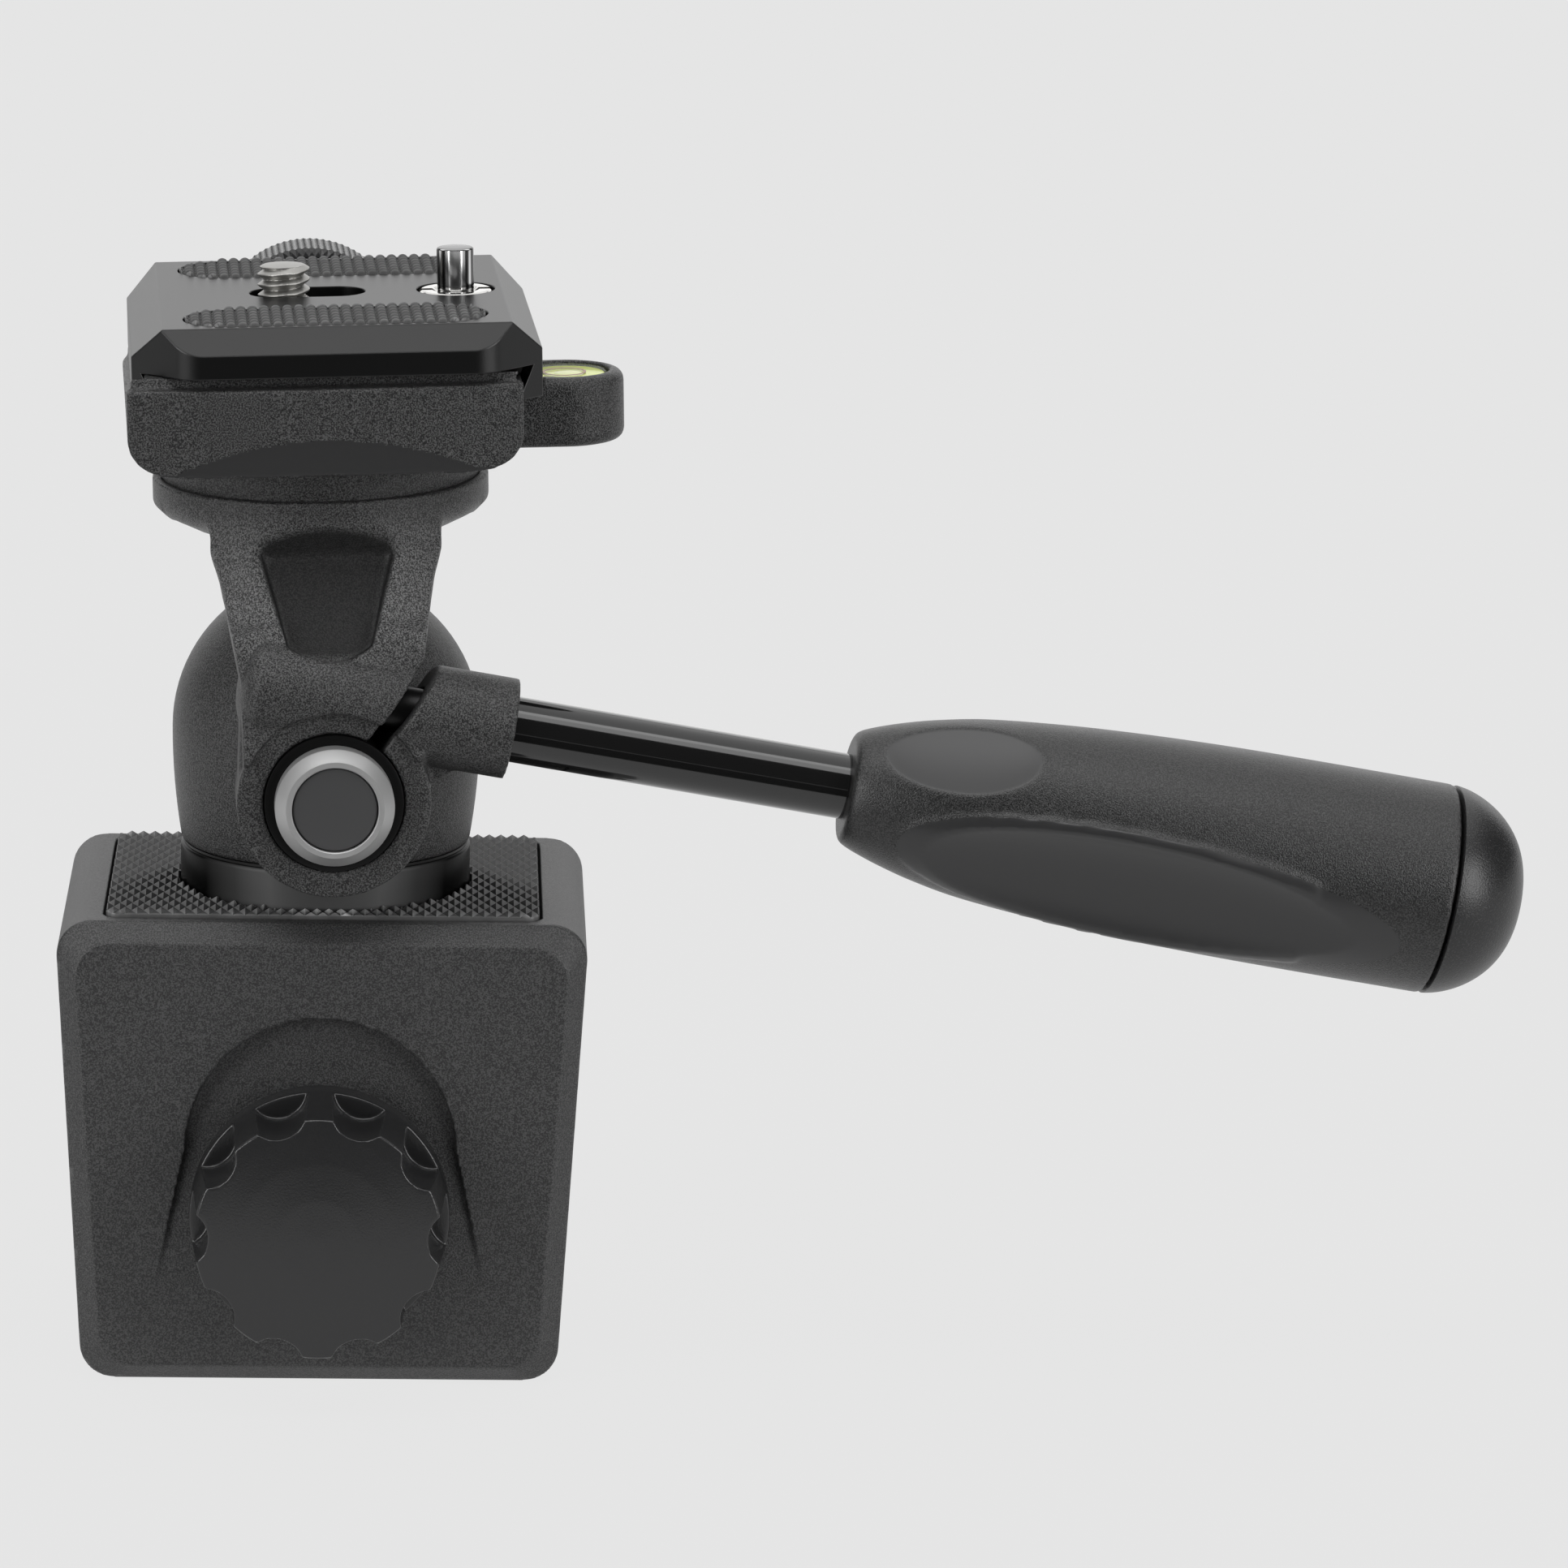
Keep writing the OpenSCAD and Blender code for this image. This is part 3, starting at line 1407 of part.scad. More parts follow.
module video_pin() {
    color("silver")
    tilt_frame()
        translate([video_pin_x, 0, 0])
            union() {
                translate([0, 0, plate_top])
                    cylinder(r = video_pin_radius, h = video_pin_height);
                translate([0, 0, pin_flange_bottom])
                    cylinder(r = pin_shank_radius, h = plate_top + cut - pin_flange_bottom);
                translate([0, 0, pin_flange_bottom])
                    cylinder(r = pin_flange_radius, h = pin_flange_height);
            }
}

module pin_nut() {
    slot = 1.2;
    color("silver")
    tilt_frame()
        translate([video_pin_x, 0, plate_top - pin_nut_thickness])
            difference() {
                cylinder(r = pin_nut_radius, h = pin_nut_thickness);
                translate([0, 0, -cut])
                    cylinder(r = video_pin_radius + run_fit, h = pin_nut_thickness + 2 * cut);
                translate([-slot / 2, -pin_nut_radius - cut, pin_nut_thickness / 2])
                    cube([slot, 2 * pin_nut_radius + 2 * cut, pin_nut_thickness]);
            }
}

module pin_cup() {
    color("gray")
    tilt_frame()
        translate([video_pin_x, 0, pin_cup_bottom])
            difference() {
                cylinder(r = pin_nut_radius, h = plate_top - pin_nut_thickness - seat_fit - pin_cup_bottom);
                translate([0, 0, pin_cup_floor])
                    cylinder(r = pin_flange_radius + run_fit, h = plate_top);
            }
}

// Helical spring as one closed tube
module coil_spring(radius, wire, turns, length) {
    rings_per_turn = 8;
    sides = 6;
    rings = turns * rings_per_turn;
    rise = length - wire;
    points = [for (i = [0 : rings], j = [0 : sides - 1])
        let (turn = 360 * i / rings_per_turn, around = 360 * j / sides,
            r = radius + wire / 2 * cos(around))
            [r * cos(turn), r * sin(turn), wire / 2 + rise * i / rings + wire / 2 * sin(around)]];
    walls = [for (i = [0 : rings - 1], j = [0 : sides - 1])
        let (a = i * sides + j, b = i * sides + (j + 1) % sides)
            each [[a, a + sides, b + sides], [a, b + sides, b]]];
    start = [for (j = [1 : sides - 2]) [0, j, j + 1]];
    last = rings * sides;
    finish = [for (j = [1 : sides - 2]) [last, last + j + 1, last + j]];
    polyhedron(points = points, faces = concat(walls, start, finish));
}

module pin_spring() {
    color("silver")
    tilt_frame()
        translate([video_pin_x, 0, pin_cup_inner_bottom + 0.05])
            coil_spring(pin_spring_radius, pin_spring_wire, pin_spring_turns, pin_spring_length - 0.1);
}

clamp_body();
leg_cover();
cover_screws();
top_pad();
rear_jaw_pad();
spindle_nut();
pressure_plate();
pressure_pad();
guide_pins();
clamp_spindle();
spindle_clip();
clamp_knob();
pan_base();
pan_washer();
pan_bolt();
spring_washer();
pan_body();
tilt_axle();
thrust_washer();
tilt_bush();
axle_cap();
axle_screw();
cap_disc();
tilt_bracket();
handle_nut();
handle_rod();
handle_grip();
grip_end_cap();
platform();
platform_screw();
platform_pins();
level_vial();
level_liquid();
lock_jaw();
lock_wedge();
lock_screw();
lock_collar();
lock_knob();
quick_plate();
rubber_strips();
camera_screw();
screw_clip();
video_pin();
pin_nut();
pin_cup();
pin_spring();
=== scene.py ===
# %% [markdown]
# A small camera head that pans and tilts, on a clamp for a window pane.
# The CAD model is loaded as a fixed frame: it gives every piece its place, its size and the body it moves
# with. This lesson dresses the pieces that show, in metres and in the same frame.

# %% Load the frame
import json
import math
import bpy
from mathutils import Matrix, Vector


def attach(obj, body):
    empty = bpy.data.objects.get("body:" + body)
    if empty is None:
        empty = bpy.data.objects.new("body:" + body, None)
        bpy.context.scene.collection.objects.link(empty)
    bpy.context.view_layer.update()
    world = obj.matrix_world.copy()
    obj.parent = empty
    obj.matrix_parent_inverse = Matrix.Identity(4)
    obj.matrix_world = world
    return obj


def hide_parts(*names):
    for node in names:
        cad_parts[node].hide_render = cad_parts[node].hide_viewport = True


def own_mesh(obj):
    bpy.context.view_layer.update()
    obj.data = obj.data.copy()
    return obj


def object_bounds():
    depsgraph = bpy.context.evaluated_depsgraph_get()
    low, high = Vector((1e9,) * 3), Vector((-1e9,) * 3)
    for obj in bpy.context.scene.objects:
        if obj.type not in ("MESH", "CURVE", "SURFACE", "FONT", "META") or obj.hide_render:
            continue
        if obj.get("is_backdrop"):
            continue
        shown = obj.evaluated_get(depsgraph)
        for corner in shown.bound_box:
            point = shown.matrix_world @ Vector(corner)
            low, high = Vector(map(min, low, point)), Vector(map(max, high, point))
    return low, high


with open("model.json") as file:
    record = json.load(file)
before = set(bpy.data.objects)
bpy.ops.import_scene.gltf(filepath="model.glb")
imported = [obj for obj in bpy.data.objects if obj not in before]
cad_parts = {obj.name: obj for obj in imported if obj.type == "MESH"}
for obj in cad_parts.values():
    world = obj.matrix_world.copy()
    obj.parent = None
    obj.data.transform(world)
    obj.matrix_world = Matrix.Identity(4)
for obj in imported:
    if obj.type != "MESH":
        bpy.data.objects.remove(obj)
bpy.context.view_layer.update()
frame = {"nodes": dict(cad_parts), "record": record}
record = frame["record"]
MM = 0.001

# %% [markdown]
# The head stands a little turned and leaning, as in the photograph. Pieces are easier to draw square, so
# each group gets its own square frame, worked out from the joints: the pan, the axle, the leaning bracket
# and the handle. A piece is modelled there and then set in place with one matrix.

# %% Frames of the moving groups
joints = {joint["name"]: joint for joint in record["behaviour"]["joints"]}


def square_frame(origin, across, away, up):
    matrix = Matrix((Vector(across), Vector(away), Vector(up))).transposed().to_4x4()
    matrix.translation = Vector(origin)
    return matrix


UP = Vector((0, 0, 1))
axle_point = Vector(joints["tilt_turn"]["pos_m"])
axle_away = Vector(joints["tilt_turn"]["axis"])
lean_across = Vector(joints["jaw_slide"]["axis"])
lean_away = Vector(joints["lock_turn"]["axis"])
lean_up = Vector(joints["screw_turn"]["axis"])
rod_along = Vector(joints["handle_turn"]["axis"])

CLAMP = Matrix.Identity(4)
PAN = square_frame((0, 0, 0), axle_away.cross(UP), axle_away, UP)
AXLE = square_frame(axle_point, axle_away.cross(UP), axle_away, UP)
TILT = square_frame(axle_point, lean_across, lean_away, lean_up)
HANDLE = square_frame(joints["handle_turn"]["pos_m"], lean_away.cross(rod_along), lean_away, rod_along)


def reach(node, place):
    back = place.inverted()
    points = [back @ vertex.co for vertex in frame["nodes"][node].data.vertices]
    low = Vector([min(p[i] for p in points) for i in range(3)]) / MM
    high = Vector([max(p[i] for p in points) for i in range(3)]) / MM
    return low, high


plate_low, plate_high = reach("quick_plate", TILT)
print("plate in its own frame, mm:", [round(v, 2) for v in plate_low], [round(v, 2) for v in plate_high])

# %% [markdown]
# A handful of small moves do most of the modelling: turn a profile, extrude an outline, cut with a tool,
# round the edges, and set the piece in its place. Each one is a few operators, as by hand. An operator acts on
# all that is selected, so the first moves see to that.

# %% Select, name and close up


def nothing_selected():
    active = bpy.context.view_layer.objects.active
    if active and active.mode != "OBJECT":
        bpy.ops.object.mode_set(mode="OBJECT")
    bpy.ops.object.select_all(action="DESELECT")


def pick(piece):
    nothing_selected()
    piece.select_set(True)
    bpy.context.view_layer.objects.active = piece


def named(name):
    piece = bpy.context.object
    piece.name = name
    piece.data.name = name
    return piece


def edit_all():
    bpy.ops.object.mode_set(mode="EDIT")
    bpy.ops.mesh.select_mode(type="EDGE")
    bpy.ops.mesh.select_all(action="SELECT")


def close_up():
    bpy.ops.mesh.select_all(action="SELECT")
    bpy.ops.mesh.remove_doubles(threshold=1e-7)
    bpy.ops.mesh.normals_make_consistent(inside=False)
    bpy.ops.object.mode_set(mode="OBJECT")


# %% [markdown]
# Many pieces are turned ones. A lathe cuts a profile while the bar spins, and here a circle is extruded from each
# point of the profile to the next. The Spin operator would do it too, but leaves a seam. Corners are rounded in the
# profile, so that no bevel is needed afterwards.

# %% Lathe


def eased(points, ease, steps=4):
    """The same line with each inner corner rounded off by a short curve."""
    line = [Vector(p) for p in points]
    out = [line[0]]
    for before, here, after in zip(line, line[1:], line[2:]):
        back, on = before - here, after - here
        start = here + back * min(ease / max(back.length, 1e-9), 0.45)
        end = here + on * min(ease / max(on.length, 1e-9), 0.45)
        for i in range(steps + 1):
            t = i / steps
            out.append(start * (1 - t) ** 2 + here * 2 * t * (1 - t) + end * t ** 2)
    out.append(line[-1])
    return [tuple(p) for p in out]


def turned(name, profile, sides=96, ring=False):
    """A lathe: a circle is extruded from point to point of the profile (radius, height), in mm."""
    nothing_selected()
    radius, height = profile[0]
    bpy.ops.mesh.primitive_circle_add(
        vertices=sides, radius=radius * MM, location=(0, 0, height * MM),
        fill_type="NOTHING" if ring else "NGON")
    piece = named(name)
    bpy.ops.object.transform_apply(location=True)
    edit_all()
    for next_radius, next_height in profile[1:]:
        step = (0, 0, (next_height - height) * MM)
        bpy.ops.mesh.extrude_edges_move(TRANSFORM_OT_translate={"value": step})
        grow = next_radius / radius
        bpy.ops.transform.resize(value=(grow, grow, 1), center_override=(0, 0, next_height * MM))
        radius, height = next_radius, next_height
    if not ring:
        bpy.ops.mesh.edge_face_add()
    close_up()
    return piece


# %% [markdown]
# Flat pieces start as an outline that is made solid. Tools for cutting start as a box or an egg.

# %% Outlines, boxes and eggs


def extruded(name, outline, start, end):
    """An outline in X and Y, made solid along Z, in mm."""
    nothing_selected()
    bpy.ops.mesh.primitive_circle_add(vertices=len(outline), radius=MM, fill_type="NGON")
    piece = named(name)
    for vertex, (x, y) in zip(piece.data.vertices, outline):
        vertex.co = (x * MM, y * MM, start * MM)
    edit_all()
    bpy.ops.mesh.extrude_region_move(TRANSFORM_OT_translate={"value": (0, 0, (end - start) * MM)})
    close_up()
    return piece


def block(name, low, high):
    nothing_selected()
    bpy.ops.mesh.primitive_cube_add(size=1, location=[(a + b) / 2 * MM for a, b in zip(low, high)])
    piece = named(name)
    piece.scale = [(b - a) * MM for a, b in zip(low, high)]
    bpy.ops.object.transform_apply(location=True, scale=True)
    return piece


def egg(name, centre, radii):
    nothing_selected()
    bpy.ops.mesh.primitive_uv_sphere_add(segments=96, ring_count=64, radius=1)
    piece = named(name)
    piece.location = [c * MM for c in centre]
    piece.scale = [r * MM for r in radii]
    bpy.ops.object.transform_apply(location=True, scale=True)
    return piece


# %% [markdown]
# A piece is drawn square and then set in its place, which is kept in its mesh: the object itself sits at the origin,
# as the CAD nodes do. A Boolean modifier cuts, and a Bevel modifier rounds the edges.

# %% Place, cut and round
TO_Y = Matrix.Rotation(math.radians(-90), 4, "X")
STAND = Matrix.Rotation(math.radians(90), 4, "X")


def set_in(piece, *places):
    """Sets a piece in its place, and keeps that place in its mesh."""
    pick(piece)
    for place in places:
        piece.matrix_world = place @ piece.matrix_world
    bpy.ops.object.transform_apply(location=True, rotation=True, scale=True)
    return piece


def shift(x, y, z):
    return Matrix.Translation((x * MM, y * MM, z * MM))


def apply(piece, modifier):
    pick(piece)
    bpy.ops.object.modifier_apply(modifier=modifier.name)


def cut(piece, tool, how="DIFFERENCE"):
    modifier = piece.modifiers.new("cut", "BOOLEAN")
    modifier.operation = how
    modifier.solver = "EXACT"
    modifier.object = tool
    apply(piece, modifier)
    bpy.data.objects.remove(tool, do_unlink=True)
    return piece


def softened(piece, width, segments=3, angle=28):
    modifier = piece.modifiers.new("soft edges", "BEVEL")
    modifier.width = width * MM
    modifier.segments = segments
    modifier.limit_method = "ANGLE"
    modifier.angle_limit = math.radians(angle)
    modifier.use_clamp_overlap = True
    apply(piece, modifier)
    return piece


def smooth(piece, angle=35):
    pick(piece)
    bpy.ops.object.shade_smooth_by_angle(angle=math.radians(angle))
    return piece


def joined(name, *pieces):
    nothing_selected()
    for piece in pieces:
        piece.select_set(True)
    bpy.context.view_layer.objects.active = pieces[0]
    bpy.ops.object.join()
    return named(name)


# %% [markdown]
# A casting has no sharp corners where its forms meet. A bevel often fails on such joins, so the forms are run into
# one skin of small voxels. The skin is smoothed, and its faces are thinned out again.

# %% Cast skins


def melted(piece, grain, rounds, keep):
    """Runs overlapping solids into one skin and rounds it, as a casting's edges are."""
    skin = piece.modifiers.new("skin", "REMESH")
    skin.mode = "VOXEL"
    skin.voxel_size = grain * MM
    apply(piece, skin)
    if rounds:
        ease = piece.modifiers.new("ease", "SMOOTH")
        ease.factor = 0.5
        ease.iterations = rounds
        apply(piece, ease)
    return thinned(piece, keep) if keep < 1 else piece


def eased_zone(piece, share, rounds):
    """Rounds a skin further in one zone. The share says how much, from 0 to 1, at a point."""
    zone = piece.vertex_groups.new(name="zone")
    for vertex in piece.data.vertices:
        weight = share(vertex.co)
        if weight > 0:
            zone.add([vertex.index], min(weight, 1), "REPLACE")
    ease = piece.modifiers.new("zone", "SMOOTH")
    ease.factor = 0.5
    ease.iterations = rounds
    ease.vertex_group = "zone"
    apply(piece, ease)
    return piece


def thinned(piece, keep):
    thin = piece.modifiers.new("thin", "DECIMATE")
    thin.ratio = keep
    apply(piece, thin)
    pick(piece)
    bpy.ops.object.shade_smooth()
    return piece


def solid_of(node, name):
    """A copy of a CAD solid, with its loose triangles merged, to go on from."""
    piece = bpy.data.objects.new(name, frame["nodes"][node].data.copy())
    bpy.context.collection.objects.link(piece)
    pick(piece)
    edit_all()
    bpy.ops.mesh.remove_doubles(threshold=1e-6)
    bpy.ops.object.mode_set(mode="OBJECT")
    return piece


def flowing(points, steps):
    """A smooth line through the points, so that a profile with few points has no corners."""
    ends = [points[0]] + points + [points[-1]]
    out = []
    for p0, p1, p2, p3 in zip(ends, ends[1:], ends[2:], ends[3:]):
        for i in range(steps):
            t = i / steps
            out.append(tuple(0.5 * (2 * b + (c - a) * t + (2 * a - 5 * b + 4 * c - d) * t * t
                                    + (3 * b - a - 3 * c + d) * t ** 3) for a, b, c, d in zip(p0, p1, p2, p3)))
    out.append(points[-1])
    return out


def ramp(value, low, high):
    return max(0.0, min(1.0, (value - low) / (high - low)))


print("modelling moves ready")

# %% [markdown]
# Each dressed piece stands for one or more CAD nodes. It rides on their body and is given its finish.
# The finishes come later in the lesson, so the pieces wait in a list until then.

# %% Piece list
body_of_node = {node: body for body, nodes in record["behaviour"]["bodies"].items() for node in nodes}
slot_of_node = {part["node"]: part["material_slot"] for part in record["subparts"]}
dressed = []


def dress(piece, finish, *nodes, rides=None, slot=None):
    body = rides or body_of_node[nodes[0]]
    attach(piece, body)
    if nodes:
        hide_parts(*nodes)
    dressed.append((piece, finish))
    print(piece.name, "rides on", body, "with", len(piece.data.polygons), "faces")


# %% [markdown]
# The clamp is a hollow plastic moulding with a slot for the glass. Its solid already has the right form,
# with hard edges. Run through a fine skin and eased, the copy gets the soft corners of a moulding.

# %% Clamp body
clamp = solid_of("clamp_body", "clamp_moulding")
melted(clamp, grain=0.3, rounds=1, keep=0.22)
dress(clamp, "clamp_plastic", "clamp_body")

# %% [markdown]
# The pad on top of the clamp is moulded rubber with small pointed scales. A plain grid is pulled into slanting
# diamonds, and poking every face lifts its middle into a point. The sheet then gets a back and is trimmed to
# the pad's outline.

# %% Top pad


def scaled_sheet(name, width, depth, half_wide, half_long, height, back, forward):
    """A sheet of pointed diamonds over a width and depth, its low lines at zero height, in mm.
    The points lean forward, so that the diamonds look like scales."""
    count = int(max(width / half_wide, depth / half_long) / 2) + 4
    nothing_selected()
    bpy.ops.mesh.primitive_grid_add(x_subdivisions=2 * count, y_subdivisions=2 * count, size=4 * count)
    piece = named(name)
    for vertex in piece.data.vertices:
        u, v = vertex.co.x, vertex.co.y
        vertex.co = ((u - v) * half_wide * MM / 2, (u + v) * half_long * MM / 2, 0)
    edit_all()
    bpy.ops.mesh.select_mode(type="FACE")
    bpy.ops.mesh.select_all(action="DESELECT")
    bpy.ops.object.mode_set(mode="OBJECT")
    for face in piece.data.polygons:
        x, y, _ = face.center
        face.select = abs(x) > (width / 2 + 2 * half_wide) * MM or abs(y) > (depth / 2 + 2 * half_long) * MM
    bpy.ops.object.mode_set(mode="EDIT")
    bpy.ops.mesh.delete(type="FACE")
    bpy.ops.mesh.select_all(action="SELECT")
    bpy.ops.mesh.poke(offset=height * MM)
    bpy.ops.object.mode_set(mode="OBJECT")
    for vertex in piece.data.vertices:
        if vertex.co.z > height * MM / 2:
            vertex.co.y -= forward * MM
    bpy.ops.object.mode_set(mode="EDIT")
    bpy.ops.mesh.select_all(action="SELECT")
    bpy.ops.mesh.region_to_loop()
    bpy.ops.mesh.extrude_edges_move(TRANSFORM_OT_translate={"value": (0, 0, -back * MM)})
    bpy.ops.mesh.edge_face_add()
    close_up()
    return piece


pad_low, pad_high = reach("top_pad", CLAMP)
pad_middle = (pad_low + pad_high) / 2
pad_size = pad_high - pad_low
base_low, base_high = reach("pan_base", PAN)
pad_hole = base_high.x + 0.3
DIAMOND_HALF_WIDE, DIAMOND_HALF_LONG = 0.725, 1.9
DIAMOND_HEIGHT = 0.6
DIAMOND_LEAN = 0.7
PAD_CORNER = 1.7

pad = scaled_sheet("top_pad_rubber", pad_size.x, pad_size.y, DIAMOND_HALF_WIDE, DIAMOND_HALF_LONG, DIAMOND_HEIGHT,
                   pad_size.z - DIAMOND_HEIGHT, DIAMOND_LEAN)
set_in(pad, shift(pad_middle.x, pad_middle.y, pad_high.z - DIAMOND_HEIGHT))
trim = block("trim", pad_low - UP, pad_high + UP)
cut(pad, softened(trim, PAD_CORNER, segments=5, angle=80), "INTERSECT")
cut(pad, turned("hole", [(pad_hole, pad_low.z - 2), (pad_hole, pad_high.z + 2)]))
dress(pad, "pad_rubber", "top_pad")

# %% [markdown]
# The clamp knob is a moulded disc with a flange at its back and deep scallops between ten finger lobes.
# It is turned first, then ten rods bite out the scallops, and the fresh edges are rounded.

# %% Clamp knob
knob_low, knob_high = reach("clamp_knob", CLAMP)
knob_middle = (knob_low + knob_high) / 2
knob_radius = (knob_high.x - knob_low.x) / 2
knob_length = knob_high.y - knob_low.y
KNOB_LOBES = 10
KNOB_FLANGE = 2.8
KNOB_FACE_RADIUS = 14.9
SCALLOP_RADIUS = 3.7
SCALLOP_DEPTH = 1.7
KNOB_DOME = [(KNOB_FACE_RADIUS, 0.9), (13, 0.66), (9.5, 0.34), (5, 0.09), (0.5, 0)]

knob_profile = eased([(0.5, 0), (knob_radius, 0), (knob_radius, KNOB_FLANGE)]
                     + [(radius, knob_length - drop) for radius, drop in KNOB_DOME], 0.3)
knob = turned("clamp_knob_lobes", knob_profile, sides=160)
for lobe in range(KNOB_LOBES):
    angle = math.tau * (lobe + 0.5) / KNOB_LOBES
    off = KNOB_FACE_RADIUS + SCALLOP_RADIUS - SCALLOP_DEPTH
    tool = turned("scallop", [(SCALLOP_RADIUS, KNOB_FLANGE + 0.7), (SCALLOP_RADIUS, knob_length + 2)], sides=64)
    cut(knob, set_in(tool, shift(off * math.sin(angle), off * math.cos(angle), 0)))
melted(knob, grain=0.16, rounds=2, keep=0.3)
set_in(knob, STAND, shift(knob_middle.x, knob_high.y, knob_middle.z))
dress(knob, "knob_plastic", "clamp_knob")

# %% [markdown]
# The pan base is a smooth turned ring that the head turns on. Its bore is kept, so its profile is a closed ring.

# %% Pan base
base_radius = base_high.x
BASE_BORE = 4.1
base_line = [(BASE_BORE, base_low.z), (base_radius - 0.2, base_low.z), (base_radius, base_low.z + 0.3),
             (base_radius, base_high.z - 0.3), (base_radius - 0.3, base_high.z), (BASE_BORE, base_high.z)]
base = turned("pan_base_ring", eased(base_line, 0.3), sides=128, ring=True)
smooth(base)
# Its finish has a painted reflection: lighter where the ring faces the viewer, dark at its rim.
dress(base, "satin_black_painted_reflection", "pan_base")

# %% [markdown]
# The barrel stands on the base: a shallow belly, then a ball with a flat crown. Both are worked out as points of one
# profile, and a block cuts the flat for the bracket.

# %% Barrel
barrel_low, barrel_high = reach("pan_body", PAN)
BARREL_FOOT_RADIUS = 17.7
barrel_radius = barrel_high.x
BARREL_WAIST = 14
barrel_flat = barrel_low.y
foot = barrel_low.z
crown = barrel_high.z - foot
BELLY_STEPS, BALL_STEPS = 8, 14
swell = barrel_radius - BARREL_FOOT_RADIUS
belly = []
for i in range(BELLY_STEPS + 1):
    t = i / BELLY_STEPS
    belly.append((BARREL_FOOT_RADIUS + swell * (1 - (1 - t) ** 2), foot + BARREL_WAIST * t))
ball = []
top_angle = math.asin((crown - BARREL_WAIST - 0.01) / barrel_radius)
for i in range(1, BALL_STEPS + 1):
    a = top_angle * i / BALL_STEPS
    ball.append((barrel_radius * math.cos(a), foot + BARREL_WAIST + barrel_radius * math.sin(a)))
crown_edge = eased([ball[-2], ball[-1], (1.0, barrel_high.z)], 1.4)
barrel = turned("barrel_casting", [(BARREL_FOOT_RADIUS - 0.5, foot)] + eased(belly[:2], 0.3) + belly[2:] + ball[:-2]
                + crown_edge, sides=128)
cut(barrel, block("flat", (-30, -40, foot - 5), (30, barrel_flat, foot + 60)))
softened(barrel, 0.5, segments=3, angle=40)
smooth(barrel, 50)
set_in(barrel, PAN)
dress(barrel, "cast_black", "pan_body")

# %% [markdown]
# The bracket is one casting: a disc on top, a leaning arm with a pocket, a split boss for the axle and a
# socket for the handle. A ring-shaped tool rounds the arm's front down from the disc. A dome closes the socket,
# two webs join the arm to the boss, and a bowl fills out the disc from below. All of it runs into one skin with
# small cast radii, and the skin is eased further where the arm meets the disc.

# %% Tilt bracket
ARM_LINE = [(20.52, 34.3), (20.52, 30.9), (21.6, 28.5), (22.9, 24.5), (23.9, 21.4), (26.0, 20.2), (31, 19.5)]
ARM_OUTSIDE = 40
BOWL_LINE = [(9, 30.6), (12.4, 28.6), (15.4, 29.2), (18.4, 30.7), (19.8, 32.4), (9, 33.2), (9, 30.6)]
LEFT_WEB = [(-11.4, 3), (-6, 2), (-6, 13), (-10.8, 15)]
RIGHT_WEB = [(8, 8), (9, 1), (11.2, 0.8), (14.9, 3.2), (16, 6)]
WEB_BACK, LEFT_FRONT, RIGHT_FRONT = 18.6, 25.2, 24.2
POCKET_HALF = 8.8
SOCKET_END = -11.2
EASE_FRONT = -6
EASE_FROM, EASE_FULL = 20, 25
DISC_BELOW, DISC_EDGE = 33.2, 34.2
EASE_ROUNDS = 70

bracket = solid_of("tilt_bracket", "tilt_bracket_casting")
dome = egg("dome", (0, 0, 0), (6.0, 6.0, 2.6))
set_in(dome, shift(0, 0, SOCKET_END), HANDLE)
left_web = extruded("left_web", LEFT_WEB, WEB_BACK, LEFT_FRONT)
right_web = extruded("right_web", RIGHT_WEB, WEB_BACK, RIGHT_FRONT)
for web in (left_web, right_web):
    set_in(web, STAND, TILT)
bowl = turned("bowl", BOWL_LINE, ring=True)
cut(bowl, block("opening", (-POCKET_HALF, -30, 25), (POCKET_HALF, -14, 33.4)))
set_in(bowl, TILT)
arm_top, arm_foot = ARM_LINE[0][1], ARM_LINE[-1][1]
shoulder = turned("shoulder", ARM_LINE + [(ARM_OUTSIDE, arm_foot), (ARM_OUTSIDE, arm_top), ARM_LINE[0]], ring=True)
cut(bracket, set_in(shoulder, TILT))
bracket = joined("tilt_bracket_casting", bracket, dome, left_web, right_web, bowl)
melted(bracket, grain=0.27, rounds=5, keep=1)

to_tilt = TILT.inverted()


def under_disc(point):
    """1 on the front of the arm below the disc, fading out above and below it."""
    spot = to_tilt @ point / MM
    if spot.y > EASE_FRONT:
        return 0
    return ramp(spot.z, EASE_FROM, EASE_FULL) * ramp(-spot.z, -DISC_EDGE, -DISC_BELOW)


eased_zone(bracket, under_disc, EASE_ROUNDS)
thinned(bracket, 0.35)
# Its finish has painted light on the arm's face and painted shade in the pocket.
dress(bracket, "cast_arm_painted_light_and_shade", "tilt_bracket")

# %% [markdown]
# The platform is the casting that carries the plate. Its front face is a slab of its own with a slight bulge,
# and a leaning block shaves it, which leaves a facet shaped like a lens.

# %% Front of the platform
HALF_WIDTH = 23.6
FRONT = 25.9
BULGE = 1.3
BULGE_STEPS = 16
SLAB_BACK, SLAB_FRONT = 18, 29
FACET_LEAN = math.radians(11)
FACET_POINT = Vector((0, -FRONT - BULGE + 0.02, 44.2))
UNDERSIDE = 39.8
SPIGOT_RADIUS = 19.6
SIDE_LINE = [(HALF_WIDTH, 50.5), (HALF_WIDTH, 44.2), (23.3, 42.9), (22.4, 41.6), (21.3, 40.8), (19.8, 40.2),
             (17.5, 39.9), (15, UNDERSIDE)]

